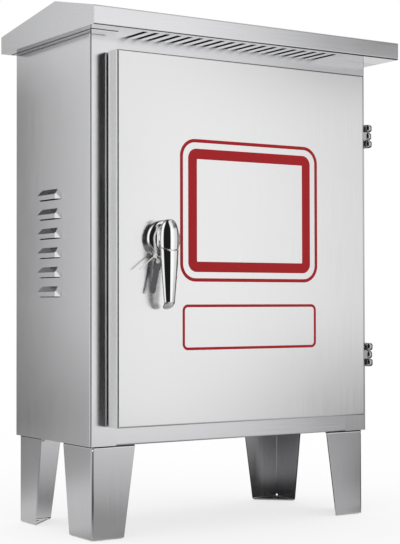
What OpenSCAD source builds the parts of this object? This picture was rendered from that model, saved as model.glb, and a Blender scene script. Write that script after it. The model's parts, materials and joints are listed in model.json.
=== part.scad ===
// Freestanding sheet metal enclosure on four folded legs, with a gabled rain hood, a pan door on
// knuckle hinges and a lever lock. The origin is the centre of the foot holes, on the floor.
// X runs to the right, Y from the door to the back, Z up. Millimetres.

/* [Body] */
// Width of the body
body_w = 500; // [400:1:700]
// Depth of the body
body_d = 236; // [190:1:360]
// Height of the body, with its top inside the hood
body_h = 600; // [500:1:900]
// Thickness of the body, hood and door sheet
sheet_t = 1.2; // [0.8:0.1:1.6]
// Inner radius of every fold in that sheet
fold_r = 1.2; // [0.6:0.1:2]
// Width of the front frame round the opening
frame_w = 42; // [40:1:60]
// How far the opening's lip stands forward of the frame
lip_d = 18; // [14:0.5:19]
// Width of the flanges that hold the back panel and the end pans
flange_w = 20; // [14:1:30]

/* [Louvres] */
// Number of louvres on each side
louvre_count = 6; // [1:1:8]
// Height from one louvre to the next
louvre_pitch = 28.6; // [24:0.1:40]
// Height of the lowest louvre's lip above the body's underside
louvre_z = 212; // [120:1:260]
// Distance of the louvres' middle behind the body's front
louvre_y = 122; // [90:1:150]
// Length of a louvre along its foot
louvre_l = 67; // [45:1:90]
// How much shorter its lip is at each end
louvre_end = 6.5; // [4:0.5:10]
// How much shorter its top edge is at each end
louvre_hip = 9; // [2:0.5:14]
// Height of a louvre
louvre_h = 15; // [11:0.5:18]
// Height of the upright part of a louvre
louvre_lip_h = 6.8; // [4:0.1:8]
// How far a louvre stands out of the side
louvre_d = 6.5; // [5:0.1:10]

/* [Hood] */
// Overhang past the front
hood_front = 50; // [42:1:90]
// Overhang past the back
hood_rear = 7; // [6:0.5:40]
// Overhang past the left side
hood_left = 22; // [10:1:60]
// Overhang past the right side
hood_right = 28; // [10:1:60]
// How far the body stands up into the hood
hood_lap = 14; // [8:1:20]
// Height of the fascia
fascia_h = 26.5; // [24:0.5:40]
// Rise of the ridge above the fascia
ridge_rise = 24.5; // [15:0.5:60]
// Distance of the ridge behind the body's front
ridge_y = 64.5; // [40:0.5:140]
// Number of vent slots under the front overhang
slot_count = 19; // [1:1:21]
// Distance from one slot to the next
slot_pitch = 18.9; // [12:0.1:19]
// Sideways set of the slot row from the body's middle
slot_shift = -10; // [-20:1:20]
// Length of a slot
slot_l = 32; // [15:0.5:34]
// Width of a slot
slot_w = 5; // [3:0.5:8]
// Distance of the slots' middle ahead of the body's front
slot_y = 21; // [19:0.5:23]

/* [Door] */
// Width of the frame that shows round the door
door_margin = 27; // [24:0.5:30]
// Depth of the door's pan
door_d = 27; // [24:0.5:32]
// Gap between the frame and the door's back edge
door_gap = 3; // [2:0.1:4]
// Width of the lip along the door's back edge
door_lip_w = 8; // [5:0.5:10]
// Width of the door's gasket
gasket_w = 12; // [8:0.5:14]
// Gap between the gasket and the opening's lip
gasket_gap = 0.3; // [0.2:0.1:1]

/* [Hinges] */
// Height of a hinge
hinge_h = 37; // [30:0.5:60]
// Distance of a hinge's middle from the door's middle
hinge_offset = 173; // [100:1:190]
// Radius of a knuckle
knuckle_r = 7; // [6:0.1:8]
// Rounding of a knuckle's ends
knuckle_round = 4; // [1:0.1:4.5]
// How much smaller the middle knuckle's radius is
knuckle_step = 0.8; // [0:0.1:1.2]
// Radius of the hinge pin
pin_r = 2.5; // [2:0.1:3.5]
// Running clearance of the pin in the door's knuckle
pin_fit = 0.05; // [0.02:0.01:0.1]
// Gap between knuckles
knuckle_gap = 0.4; // [0.3:0.1:1]
// Distance of the pin from the body's right side
pin_inset = 6; // [5:0.5:8]
// Distance of the pin ahead of the body's front
pin_front = 14; // [12:0.5:16]
// Thickness of a hinge's leaves
leaf_t = 2.5; // [2:0.1:3]
// Radius of the studs cast on the leaves
leaf_stud_r = 3; // [2:0.1:3.5]

/* [Lock] */
// Distance of the lock's axis from the body's left side
lock_x = 99; // [90:1:130]
// Diameter of the rosette
rosette_dia = 55.5; // [46:0.5:70]
// Thickness of the rosette
rosette_t = 10; // [8:0.5:14]
// Rounding of the rosette's rim
rosette_round = 4; // [1:0.5:6]
// Diameter of the collar in front of the rosette
collar_dia = 36; // [30:0.5:40]
// Length of the collar
collar_l = 3.7; // [3.4:0.1:8]
// Radius of the threaded barrel through the door
barrel_r = 11; // [10:0.5:13]
// Length of the barrel behind the door's face
barrel_l = 20; // [14:0.5:24]
// Radius of the spindle
spindle_r = 8; // [6:0.1:9]
// Running clearance of the spindle, the plug and the cover on its pin
turn_fit = 0.05; // [0.02:0.01:0.1]
// Gap between faces that turn past each other
face_gap = 0.3; // [0.2:0.1:0.6]

/* [Lever] */
// Height of the lever's head above the axis
lever_top = 27.9; // [24:0.1:32]
// Reach of the lever's tip below the axis
lever_reach = 100; // [80:0.5:130]
// Width of the lever at its widest
lever_head_w = 30.3; // [28:0.1:34]
// Width near the tip
lever_tip_w = 16; // [12:0.1:22]
// Thickness of the lever for each millimetre of its width
lever_flat = 0.55; // [0.5:0.01:0.6]
// How far the tip turns in towards the door
lever_toe = 9; // [0:0.1:10]
// Radius of the lever's neck
neck_r = 13; // [10:0.1:14]
// Distance of the keyhole cover's seam below the axis
cover_seam = 17; // [14:0.5:22]
// Height of the cover's pin above the axis
cover_pin_up = 18; // [15:0.5:20]
// Radius of the cover's pin
cover_pin_r = 1.5; // [1:0.1:2]
// Radius of the lock plug
plug_r = 6; // [5:0.1:7]

/* [Latch and key] */
// Reach of the latch cam from the axis
cam_reach = 66; // [58:1:75]
// Width of the cam
cam_w = 16; // [14:0.5:22]
// Thickness of the cam
cam_t = 3; // [2:0.1:5]
// Gap between the cam and the back of the frame
cam_gap = 1.3; // [0.5:0.1:3]
// Reach of the tie's loop below the axis
tie_reach = 32; // [30:0.5:36]
// Width of the tie's strap
tie_w = 2.6; // [2:0.1:3]
// Thickness of the tie's strap
tie_t = 1.2; // [0.8:0.1:1.6]
// Length of the key
key_l = 52; // [40:1:58]
// Thickness of the key
key_t = 1.8; // [1:0.1:2.5]

/* [Legs] */
// Height of the legs
leg_h = 133; // [90:1:250]
// Thickness of the legs' sheet
leg_t = 2; // [1.5:0.1:3]
// Outer radius of the legs' folds
leg_round = 3.5; // [3:0.1:5]
// Distance of the legs from the body's left and right sides
leg_inset_x = 5; // [2:0.5:20]
// Distance of the legs from the body's front and back
leg_inset_y = 4; // [2:0.5:20]
// Top width of the flanges on the front and back
leg_face_w = 71; // [64:1:100]
// Top width of the front legs' side flanges
leg_side_front_w = 86; // [64:1:100]
// Top width of the rear legs' side flanges
leg_side_rear_w = 70; // [64:1:100]
// How much each flange narrows towards the foot
leg_taper = 19; // [8:0.5:22]
// Rounding of the flanges' lower corners
leg_corner_r = 4; // [2:0.5:8]
// Distance of the foot hole from the leg's two outer faces
foot_hole_in = 18; // [15:0.5:20]
// Radius of the foot holes
foot_hole_r = 5.5; // [4:0.1:7]
// Distance of a leg's bolts along its flange
leg_bolt_along = 38; // [32:1:40]
// Distance of a leg's bolts from the flange
leg_bolt_in = 16; // [14:0.5:18]

/* [Inside] */
// Width of the mounting plate
plate_w = 390; // [250:1:400]
// Height of the mounting plate
plate_h = 470; // [300:1:480]
// Thickness of the mounting plate
plate_t = 1.5; // [1:0.1:3]
// Distance of the mounting plate from the back panel
plate_gap = 20; // [14:0.5:30]
// Distance of the studs from the mounting plate's edges
plate_stud_in = 14; // [12:0.5:25]
// Radius of the cable grommets' holes
grommet_r = 25; // [12:0.5:32]
// Distance of a grommet from the body's middle
grommet_x = 80; // [40:1:110]

/* [Fasteners] */
// Radius of the studs and bolts in the body
bolt_r = 4; // [3:0.1:5]
// Clearance round a bolt in its hole
bolt_fit = 0.2; // [0.1:0.05:0.5]
// Thickness of a nut or a bolt head for each millimetre of bolt radius
nut_t_ratio = 1.5; // [1:0.1:2]
// Distance across a nut's flats for each millimetre of bolt radius
nut_af_ratio = 3.25; // [3:0.05:3.5]

/* [Hidden] */
$fn = 48;
eps = 0.01;
over = 5;
arc_steps = 6;

steel = [0.78, 0.79, 0.80];
chrome = [0.85, 0.86, 0.88];
zinc = [0.70, 0.72, 0.74];
black = [0.10, 0.10, 0.11];
nylon = [0.86, 0.86, 0.82];

// Heights above the body's underside: the soffit, the opening, the door and the lock
face_h = body_h - hood_lap;
open_z0 = frame_w;
open_z1 = face_h - frame_w;
mid_z = face_h / 2;
door_x0 = door_margin;
door_x1 = body_w - door_margin;
door_z0 = door_margin;
door_z1 = face_h - door_margin;

// Depths behind the body's front
back_y = body_d - 2 * sheet_t;
door_back_y = -door_gap;
door_face_y = -door_gap - door_d;
door_in_y = door_face_y + sheet_t;
collar_y = door_face_y - rosette_t - collar_l;
lever_head_t = lever_head_w * lever_flat;
lever_y = collar_y - face_gap - lever_head_t / 2;
cam_y = sheet_t + cam_gap;
plate_y = back_y - plate_gap;

// The hood's outline
hood_x0 = -hood_left;
hood_x1 = body_w + hood_right;
hood_y0 = -hood_front;
hood_y1 = body_d + hood_rear;
eave_z = face_h + fascia_h;
ridge_z = eave_z + ridge_rise;
hood_fit = 0.2;
rib_t = 1.5;
rib_foot_w = 22;
rib_in = 24;
rib_x = 90;
rib_fit = 0.1;

// Hinge places
pin_x = body_w - pin_inset;
pin_y = -pin_front;
knuckle_h = (hinge_h - 2 * knuckle_gap) / 3;
leaf_stud_z = hinge_h * 0.27;
leaf_stud_l = 8;

// Frames of reference

module in_body() {
    translate([-body_w / 2, -body_d / 2, leg_h]) children();
}

module at_lock(y) {
    in_body() translate([lock_x, y, mid_z]) children();
}

module at_hinge(side) {
    in_body() translate([pin_x, pin_y, mid_z + side * hinge_offset]) children();
}

// A flat outline in Y and Z, drawn out from x0 to x1
module along_x(x0, x1) {
    translate([x0, 0, 0]) rotate([90, 0, 90]) linear_extrude(x1 - x0) children();
}

// A flat outline in X and Z, drawn out from y0 to y1
module along_y(y0, y1) {
    translate([0, y1, 0]) rotate([90, 0, 0]) linear_extrude(y1 - y0) children();
}

// A round piece on an axis that runs forward, out of the door
module forward() {
    rotate([90, 0, 0]) children();
}

// Folded sheet: a strip along the points of its outer face, with the sheet on the left of the path

function heading(a, b) = atan2(b[1] - a[1], b[0] - a[0]);
function wrap(a) = a > 180 ? a - 360 : a <= -180 ? a + 360 : a;
function bend(p, i) = i < 1 || i > len(p) - 2 ? 0
    : wrap(heading(p[i], p[i + 1]) - heading(p[i - 1], p[i]));
function face_radius(a, t) = a > 0 ? fold_r + t : fold_r;
function setback(p, i, t) = face_radius(bend(p, i), t) * tan(abs(bend(p, i)) / 2);
function ray(a, r) = r * [cos(a), sin(a)];
function arc(centre, r, from, turn, steps = arc_steps) =
    [for (k = [0 : steps]) centre + ray(from + turn * k / steps, r)];
function reversed(p) = [for (i = [len(p) - 1 : -1 : 0]) p[i]];

// One fold, seen from the outer face (offset 0) or from the other face (offset t)
function fold_arc(p, i, t, offset) =
    let (a = bend(p, i), h = heading(p[i - 1], p[i]), side = sign(a), r = face_radius(a, t))
    arc(p[i] - ray(h, setback(p, i, t)) + ray(h + 90 * side, r), r - side * offset, h - 90 * side, a);

function strip_edge(p, t, offset) = concat(
    [p[0] + ray(heading(p[0], p[1]) + 90, offset)],
    [for (i = [1 : len(p) - 2]) each fold_arc(p, i, t, offset)],
    [p[len(p) - 1] + ray(heading(p[len(p) - 2], p[len(p) - 1]) + 90, offset)]);

module folded(p, t = sheet_t) {
    polygon(concat(strip_edge(p, t, 0), reversed(strip_edge(p, t, t))));
}

// A rectangle with rounded corners
module round_rect(size, r) {
    translate([r, 0]) square([size[0] - 2 * r, size[1]]);
    translate([0, r]) square([size[0], size[1] - 2 * r]);
    for (x = [r, size[0] - r], y = [r, size[1] - r]) translate([x, y]) circle(r);
}

// A slot with round ends, centred
module slot(l, w) {
    square([w, l - w], center = true);
    for (y = [-1, 1]) translate([0, y * (l - w) / 2]) circle(w / 2);
}

// Fasteners, upright with their base at z = 0

function nut_t(r) = r * nut_t_ratio;
function hex_r(r) = r * nut_af_ratio / sqrt(3);

module nut(r) {
    difference() {
        cylinder(h = nut_t(r), r = hex_r(r), $fn = 6);
        translate([0, 0, -over]) cylinder(h = nut_t(r) + 2 * over, r = r + turn_fit);
    }
}

module bolt(r, l) {
    cylinder(h = nut_t(r), r = hex_r(r), $fn = 6);
    translate([0, 0, nut_t(r) - eps]) cylinder(h = l + eps, r = r);
}

// Body

// A wedge with an upright lip, whose ends lean in towards the lip and towards the top
module louvre(l, d, h, lip_h, low, back) {
    lean = d * louvre_end / louvre_d;
    hip = (h - low) * louvre_hip / louvre_h;
    intersection() {
        along_y(-l / 2, l / 2) polygon([[-back, low], [d, low], [d, lip_h], [0, h], [-back, h]]);
        translate([0, 0, low]) linear_extrude(h - low) polygon([[-back, -l / 2], [0, -l / 2],
            [d, lean - l / 2], [d, l / 2 - lean], [0, l / 2], [-back, l / 2]]);
        along_x(-back, d) polygon([[-l / 2, low], [l / 2, low], [l / 2 - hip, h], [hip - l / 2, h]]);
    }
}

module louvre_places() {
    for (i = [0 : louvre_count - 1])
        translate([0, louvre_y, louvre_z + i * louvre_pitch]) rotate([0, 0, 180]) children();
}

module louvre_skin() {
    louvre(louvre_l, louvre_d, louvre_h, louvre_lip_h, 0, sheet_t / 2);
}

module louvre_hollow() {
    slope = (louvre_h - louvre_lip_h) / louvre_d;
    top = louvre_h - sheet_t * norm([1, slope]);
    depth = louvre_d - sheet_t;
    length = louvre_l - 2 * sheet_t * norm([1, louvre_end / louvre_d]);
    louvre(length, depth, top, top - slope * depth, -sheet_t, 2 * sheet_t);
}

module side_sheet() {
    back_end = [[flange_w, body_d], [0, body_d], [0, 0]];
    plain = concat(back_end, [[frame_w, 0]]);
    lipped = concat(back_end, [[frame_w - sheet_t, 0], [frame_w - sheet_t, -lip_d]]);
    linear_extrude(open_z0) folded(plain);
    translate([0, 0, open_z0]) linear_extrude(open_z1 - open_z0) folded(lipped);
    translate([0, 0, open_z1]) linear_extrude(body_h - open_z1) folded(plain);
}

module side_panel() {
    difference() {
        union() {
            side_sheet();
            louvre_places() louvre_skin();
        }
        louvre_places() louvre_hollow();
    }
}

module left_side_panel() {
    color(steel) in_body() side_panel();
}

module right_side_panel() {
    color(steel) difference() {
        in_body() translate([body_w, 0, 0]) mirror([1, 0, 0]) side_panel();
        frame_stud_places() cylinder(h = 4 * over, r = leaf_stud_r + bolt_fit, center = true);
    }
}

module back_panel() {
    edge = sheet_t + fold_r;
    color(steel) in_body() translate([edge, back_y, 0]) cube([body_w - 2 * edge, sheet_t, body_h]);
}

// The pan that closes the top or the bottom, with its outer face at z = 0 and its front flange upright
module end_pan(front_h) {
    lip_z = front_h - sheet_t;
    clear = sheet_t + fold_r;
    front = [[-lip_d, lip_z], [0, lip_z], [0, 0], [back_y, 0], [back_y, flange_w]];
    across = [[sheet_t, flange_w], [sheet_t, 0], [body_w - sheet_t, 0], [body_w - sheet_t, flange_w]];
    along_x(frame_w, body_w - frame_w) folded(front);
    along_x(sheet_t + clear, body_w - sheet_t - clear) folded([[clear, 0], [back_y, 0], [back_y, flange_w]]);
    along_y(clear, back_y - clear) folded(across);
}

vent_rows = 3;
vent_count = 9;
vent_l = 36;
vent_w = 6;
vent_pitch = 24;

module top_pan() {
    color(steel) in_body() difference() {
        translate([0, 0, body_h]) mirror([0, 0, 1]) end_pan(hood_lap + frame_w);
        for (row = [0 : vent_rows - 1], i = [0 : vent_count - 1])
            translate([body_w / 2 + (i - (vent_count - 1) / 2) * vent_pitch,
                    body_d * (row + 1) / (vent_rows + 1), body_h])
                linear_extrude(2 * over, center = true) slot(vent_l, vent_w);
        hood_bolt_places() cylinder(h = 4 * over, r = bolt_r + bolt_fit, center = true);
    }
}

module bottom_pan() {
    color(steel) difference() {
        in_body() end_pan(frame_w);
        leg_bolt_places() cylinder(h = 2 * over, r = bolt_r + bolt_fit, center = true);
        grommet_places([-1, 1]) cylinder(h = 2 * over, r = grommet_r, center = true);
        earth_place() cylinder(h = 2 * over, r = bolt_r + bolt_fit, center = true);
    }
}

// Hood

roof_slope_front = ridge_rise / (ridge_y - hood_y0);
roof_slope_rear = ridge_rise / (hood_y1 - ridge_y);
function roof_under(y) = ridge_z
    - (y < ridge_y ? (ridge_y - y) * roof_slope_front + sheet_t * norm([1, roof_slope_front])
                   : (y - ridge_y) * roof_slope_rear + sheet_t * norm([1, roof_slope_rear]));

hood_ring = [[hood_y1, face_h], [hood_y1, eave_z], [ridge_y, ridge_z], [hood_y0, eave_z], [hood_y0, face_h]];

module slot_row() {
    for (i = [0 : slot_count - 1])
        translate([body_w / 2 + slot_shift + (i - (slot_count - 1) / 2) * slot_pitch, -slot_y, face_h])
            linear_extrude(2 * over, center = true) slot(slot_l, slot_w);
}

module hood_shell() {
    profile = concat([[body_d + hood_fit, face_h]], hood_ring, [[-hood_fit, face_h]]);
    color(steel) in_body() difference() {
        along_x(hood_x0 + sheet_t, hood_x1 - sheet_t) folded(profile);
        slot_row();
    }
}

// A gable plate with a soffit flange that reaches in to the body, made for the left end
module hood_end(overhang) {
    inner = [[hood_y0 + sheet_t, face_h], [hood_y1 - sheet_t, face_h],
        [hood_y1 - sheet_t, roof_under(hood_y1 - sheet_t)], [ridge_y, roof_under(ridge_y)],
        [hood_y0 + sheet_t, roof_under(hood_y0 + sheet_t)]];
    along_x(-overhang, sheet_t - overhang) {
        folded(concat([[body_d, face_h]], hood_ring, [[0, face_h]]));
        polygon(inner);
    }
    translate([-overhang, 0, face_h]) cube([overhang - hood_fit, body_d, sheet_t]);
}

module hood_end_left() {
    color(steel) in_body() hood_end(hood_left);
}

module hood_end_right() {
    color(steel) in_body() translate([body_w, 0, 0]) mirror([1, 0, 0]) hood_end(hood_right);
}

module hood_bolt_places() {
    for (x = [rib_x + rib_foot_w / 2, body_w - rib_x - rib_foot_w / 2], y = [body_d * 0.3, body_d * 0.72])
        translate([x, y, body_h]) children();
}

// A rib that stands on the top pan and carries the roof, made for the left
module hood_rib() {
    y0 = rib_in;
    y1 = body_d - rib_in;
    roof = [for (y = [y1, ridge_y, y0]) [y, roof_under(y) - rib_fit]];
    along_x(rib_x - rib_t, rib_x) polygon(concat([[y0, body_h], [y1, body_h]], roof));
    translate([rib_x - eps, y0, body_h]) cube([rib_foot_w + eps, y1 - y0, rib_t]);
}

module hood_rib_left() {
    color(zinc) in_body() difference() {
        hood_rib();
        hood_bolt_places() cylinder(h = 2 * over, r = bolt_r + bolt_fit, center = true);
    }
}

module hood_rib_right() {
    color(zinc) in_body() difference() {
        translate([body_w, 0, 0]) mirror([1, 0, 0]) hood_rib();
        hood_bolt_places() cylinder(h = 2 * over, r = bolt_r + bolt_fit, center = true);
    }
}

module hood_bolts() {
    stack = sheet_t + rib_t;
    color(zinc) in_body() hood_bolt_places() {
        translate([0, 0, -sheet_t - nut_t(bolt_r)]) bolt(bolt_r, stack + nut_t(bolt_r) - eps);
        translate([0, 0, rib_t]) nut(bolt_r);
    }
}

// Legs

// One flange of a leg, with its free edge leaning in towards a rounded foot corner
module leg_flange(top_w) {
    lean = atan(leg_taper / leg_h);
    centre = [top_w - leg_taper - leg_corner_r / tan(45 + lean / 2), leg_corner_r];
    polygon(concat([[0, leg_h], [0, 0]], arc(centre, leg_corner_r, -90, 90 - lean), [[top_w, leg_h]]));
}

// The spare sheet beyond a flange's free edge
module beyond_flange(top_w) {
    difference() {
        translate([top_w / 2, -over]) square([top_w, leg_h + 2 * over]);
        leg_flange(top_w);
    }
}

// The spare sheet beyond the slanting edge of a leg's top plate or foot plate
module beyond_plate(face_w, side_w) {
    polygon([[face_w, leg_round], [2 * face_w, leg_round], [2 * face_w, 2 * side_w],
        [leg_round, 2 * side_w], [leg_round, side_w]]);
}

// A block with the edges at its outer corner rounded
module leg_block(size, r) {
    big = size + [r, r, 0];
    intersection() {
        linear_extrude(size[2]) round_rect([big[0], big[1]], r);
        along_x(0, big[0]) round_rect([big[1], big[2]], r);
        along_y(0, big[1]) round_rect([big[0], big[2]], r);
        cube(size);
    }
}

relief_r = 1.7;
relief_z = leg_t + 3;

// A leg with its outer corner at the origin, folded from one sheet with a top plate and a foot plate
module leg(face_w, side_w) {
    foot = leg_taper + leg_corner_r;
    difference() {
        leg_block([face_w, side_w, leg_h], leg_round);
        translate(leg_t * [1, 1, 1]) leg_block([face_w, side_w, leg_h - 2 * leg_t], leg_round - leg_t);
        along_y(-over, leg_round) beyond_flange(face_w);
        along_x(-over, leg_round) beyond_flange(side_w);
        translate([0, 0, leg_h / 2]) linear_extrude(leg_h) beyond_plate(face_w, side_w);
        translate([0, 0, -leg_h / 2]) linear_extrude(leg_h) beyond_plate(face_w - foot, side_w - foot);
        translate([foot_hole_in, foot_hole_in, -over]) cylinder(h = 3 * over, r = foot_hole_r);
        for (p = leg_bolts_in_leg) translate([p[0], p[1], leg_h])
            cylinder(h = 2 * over, r = bolt_r + bolt_fit, center = true);
        for (z = [0, leg_h]) translate([leg_round, leg_round, z])
            cylinder(h = 2 * leg_round, r = leg_round - leg_t / 2, center = true);
        for (z = [relief_z, leg_h - relief_z]) translate([0, 0, z]) rotate([0, 90, 45])
            cylinder(h = 6 * leg_round, r = relief_r, center = true);
    }
}

leg_bolts_in_leg = [[leg_bolt_along, leg_bolt_in], [leg_bolt_in, leg_bolt_along]];
leg_sides = [-1, 1];

module at_leg(side, end) {
    translate([side * (body_w / 2 - leg_inset_x), end * (body_d / 2 - leg_inset_y), 0])
        mirror([side > 0 ? 1 : 0, 0, 0]) mirror([0, end > 0 ? 1 : 0, 0]) children();
}

module leg_bolt_places() {
    for (side = leg_sides, end = leg_sides, p = leg_bolts_in_leg)
        at_leg(side, end) translate([p[0], p[1], leg_h]) children();
}

module leg_front_left() {
    color(steel) at_leg(-1, -1) leg(leg_face_w, leg_side_front_w);
}

module leg_front_right() {
    color(steel) at_leg(1, -1) leg(leg_face_w, leg_side_front_w);
}

module leg_rear_left() {
    color(steel) at_leg(-1, 1) leg(leg_face_w, leg_side_rear_w);
}

module leg_rear_right() {
    color(steel) at_leg(1, 1) leg(leg_face_w, leg_side_rear_w);
}

module leg_bolts() {
    color(zinc) leg_bolt_places() translate([0, 0, -leg_t - nut_t(bolt_r)])
        bolt(bolt_r, leg_t + sheet_t + nut_t(bolt_r));
}

module leg_nuts() {
    color(zinc) leg_bolt_places() translate([0, 0, sheet_t]) nut(bolt_r);
}

// Inside

module plate_stud_places() {
    for (x = [-1, 1], z = [-1, 1])
        translate([body_w / 2 + x * (plate_w / 2 - plate_stud_in), plate_y,
            mid_z + z * (plate_h / 2 - plate_stud_in)]) children();
}

module mounting_plate() {
    color(zinc) in_body() difference() {
        translate([body_w / 2 - plate_w / 2, 0, mid_z - plate_h / 2])
            along_y(plate_y - plate_t, plate_y) round_rect([plate_w, plate_h], plate_stud_in / 2);
        plate_stud_places() forward() cylinder(h = 4 * over, r = bolt_r + bolt_fit, center = true);
    }
}

module plate_studs() {
    front = plate_t + nut_t(bolt_r) + bolt_r;
    color(steel) in_body() plate_stud_places() translate([0, plate_gap, 0]) forward()
        cylinder(h = plate_gap + front, r = bolt_r);
}

module plate_nuts() {
    color(zinc) in_body() plate_stud_places() forward() {
        translate([0, 0, plate_t]) nut(bolt_r);
        translate([0, 0, -nut_t(bolt_r)]) nut(bolt_r);
    }
}

earth_l = 26;
earth_x = 60;
earth_lug_t = 4;

module earth_place() {
    in_body() translate([body_w - earth_x, body_d / 2, 0]) children();
}

module earth_stud() {
    color(zinc) earth_place() translate([0, 0, -nut_t(bolt_r)]) bolt(bolt_r, earth_l);
}

module earth_nuts() {
    color(zinc) earth_place() for (z = [sheet_t, sheet_t + nut_t(bolt_r) + earth_lug_t])
        translate([0, 0, z]) nut(bolt_r);
}

module grommet_places(sides) {
    in_body() for (side = sides) translate([body_w / 2 + side * grommet_x, body_d / 2, 0]) children();
}

grommet_rim = 4;
grommet_wall = 2;

// A rubber grommet that grips the sheet's edge and is closed by a thin membrane
module grommet() {
    rim_r = grommet_r + grommet_rim;
    rotate_extrude() {
        translate([0, -grommet_wall]) square([rim_r, grommet_wall]);
        translate([0, -eps]) difference() {
            square([grommet_r - bolt_fit, sheet_t + 2 * eps]);
            square([grommet_r - grommet_rim, sheet_t + 3 * eps]);
        }
        translate([grommet_r - grommet_rim, sheet_t]) square([2 * grommet_rim, grommet_wall]);
    }
}

module cable_grommet_left() {
    color(black) grommet_places([-1]) grommet();
}

module cable_grommet_right() {
    color(black) grommet_places([1]) grommet();
}

// Hinges

// A knuckle of radius r round the pin's axis, from z0 up
module knuckle(r, z0) {
    rotate_extrude() difference() {
        translate([-r, z0]) round_rect([2 * r, knuckle_h], knuckle_round);
        translate([-2 * r, z0 - over]) square([2 * r, knuckle_h + 2 * over]);
    }
}

module pin_bore(r) {
    cylinder(h = 2 * hinge_h, r = r, center = true);
}

leaf_x0 = door_x1 + 2 * leaf_t - pin_x;
leaf_x1 = pin_inset - fold_r - sheet_t;
arm_w = knuckle_r;

module frame_stud_places() {
    for (side = [-1, 1], z = [-1, 1]) at_hinge(side)
        translate([(leaf_x0 + leaf_x1) / 2 - arm_w / 2, pin_front, z * leaf_stud_z]) forward() children();
}

module door_stud_places() {
    for (side = [-1, 1], z = [-1, 1]) at_hinge(side)
        translate([door_x1 - pin_x, 0, z * leaf_stud_z]) rotate([0, 90, 0]) children();
}

module hinge_frame_leaf(side) {
    color(chrome) {
        at_hinge(side) difference() {
            union() {
                translate([leaf_x0, pin_front - leaf_t, -hinge_h / 2])
                    cube([leaf_x1 - leaf_x0, leaf_t, hinge_h]);
                for (z0 = [-hinge_h / 2, hinge_h / 2 - knuckle_h]) {
                    knuckle(knuckle_r, z0);
                    translate([leaf_x1 - arm_w, 0, z0]) cube([arm_w, pin_front - leaf_t + eps, knuckle_h]);
                }
            }
            pin_bore(pin_r + pin_fit);
        }
        intersection() {
            frame_stud_places() translate([0, 0, -leaf_stud_l])
                cylinder(h = leaf_stud_l + eps, r = leaf_stud_r);
            at_hinge(side) cube([4 * hinge_h, 4 * hinge_h, hinge_h], center = true);
        }
    }
}

module hinge_frame_leaf_upper() {
    hinge_frame_leaf(1);
}

module hinge_frame_leaf_lower() {
    hinge_frame_leaf(-1);
}

module hinge_door_leaf(side) {
    edge = door_x1 - pin_x;
    leaf_w = door_d * 0.7;
    color(chrome) {
        at_hinge(side) difference() {
            union() {
                translate([edge, pin_front - door_gap - door_d / 2 - leaf_w / 2, -hinge_h / 2])
                    cube([leaf_t, leaf_w, hinge_h]);
                knuckle(knuckle_r - knuckle_step, -knuckle_h / 2);
                translate([edge + leaf_t - eps, -arm_w / 2, -knuckle_h / 2])
                    cube([-edge - leaf_t + eps, arm_w, knuckle_h]);
            }
            pin_bore(pin_r + pin_fit);
        }
        intersection() {
            door_stud_places() translate([0, 0, -leaf_stud_l])
                cylinder(h = leaf_stud_l + eps, r = leaf_stud_r);
            at_hinge(side) cube([4 * hinge_h, 4 * hinge_h, hinge_h], center = true);
        }
    }
}

module hinge_door_leaf_upper() {
    hinge_door_leaf(1);
}

module hinge_door_leaf_lower() {
    hinge_door_leaf(-1);
}

// The pin ends flush with the outer knuckles, with a bevel at each end
module hinge_pin(side) {
    bevel = pin_r / 4;
    color(chrome) at_hinge(side) {
        cylinder(h = hinge_h - 2 * bevel, r = pin_r, center = true);
        for (end = [-1, 1]) translate([0, 0, end * (hinge_h / 2 - bevel)]) mirror([0, 0, end < 0 ? 1 : 0])
            cylinder(h = bevel, r1 = pin_r, r2 = pin_r - bevel);
    }
}

module hinge_pin_upper() {
    hinge_pin(1);
}

module hinge_pin_lower() {
    hinge_pin(-1);
}

module hinge_frame_nuts() {
    color(zinc) frame_stud_places() translate([0, 0, -sheet_t - nut_t(leaf_stud_r)]) nut(leaf_stud_r);
}

module hinge_door_nuts() {
    color(zinc) door_stud_places() translate([0, 0, -sheet_t - nut_t(leaf_stud_r)]) nut(leaf_stud_r);
}

// Door

// A block as wide and high as the door less an inset, from y0 to y1, with its long edges rounded
module door_block(inset, y0, y1, r) {
    size = [door_x1 - door_x0, y1 - y0, door_z1 - door_z0] - 2 * inset * [1, 0, 1];
    translate([door_x0 + inset, y0, door_z0 + inset]) intersection() {
        linear_extrude(size[2]) round_rect([size[0], size[1]], r);
        along_x(0, size[0]) round_rect([size[1], size[2]], r);
    }
}

module door_panel() {
    color(steel) difference() {
        in_body() difference() {
            door_block(0, door_face_y, door_back_y, fold_r + sheet_t);
            door_block(sheet_t, door_in_y, door_back_y - sheet_t, fold_r);
            translate([door_x0 + door_lip_w, door_back_y - 2 * sheet_t, door_z0 + door_lip_w])
                cube([door_x1 - door_x0 - 2 * door_lip_w, over, door_z1 - door_z0 - 2 * door_lip_w]);
        }
        at_lock(door_face_y) forward() cylinder(h = 2 * over, r = barrel_r + bolt_fit, center = true);
        door_stud_places() cylinder(h = 2 * over, r = leaf_stud_r + bolt_fit, center = true);
    }
}

// The gasket's outline is the opening's lip, grown or shrunk by an edge
module gasket_outline(edge) {
    translate([frame_w - edge, open_z0 - edge])
        square([body_w - 2 * frame_w + 2 * edge, open_z1 - open_z0 + 2 * edge]);
}

module door_gasket() {
    color(black) in_body() along_y(door_in_y, -lip_d - gasket_gap) difference() {
        gasket_outline(gasket_w / 2);
        gasket_outline(-gasket_w / 2);
    }
}

door_earth_l = 12;
door_earth_r = 3;
door_earth_in = 60;

module door_earth_stud() {
    place = [door_x1 - door_earth_in, door_in_y + door_earth_l, door_z0 + door_earth_in];
    color(steel) in_body() translate(place) forward() cylinder(h = door_earth_l, r = door_earth_r);
}

// Lock

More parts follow.
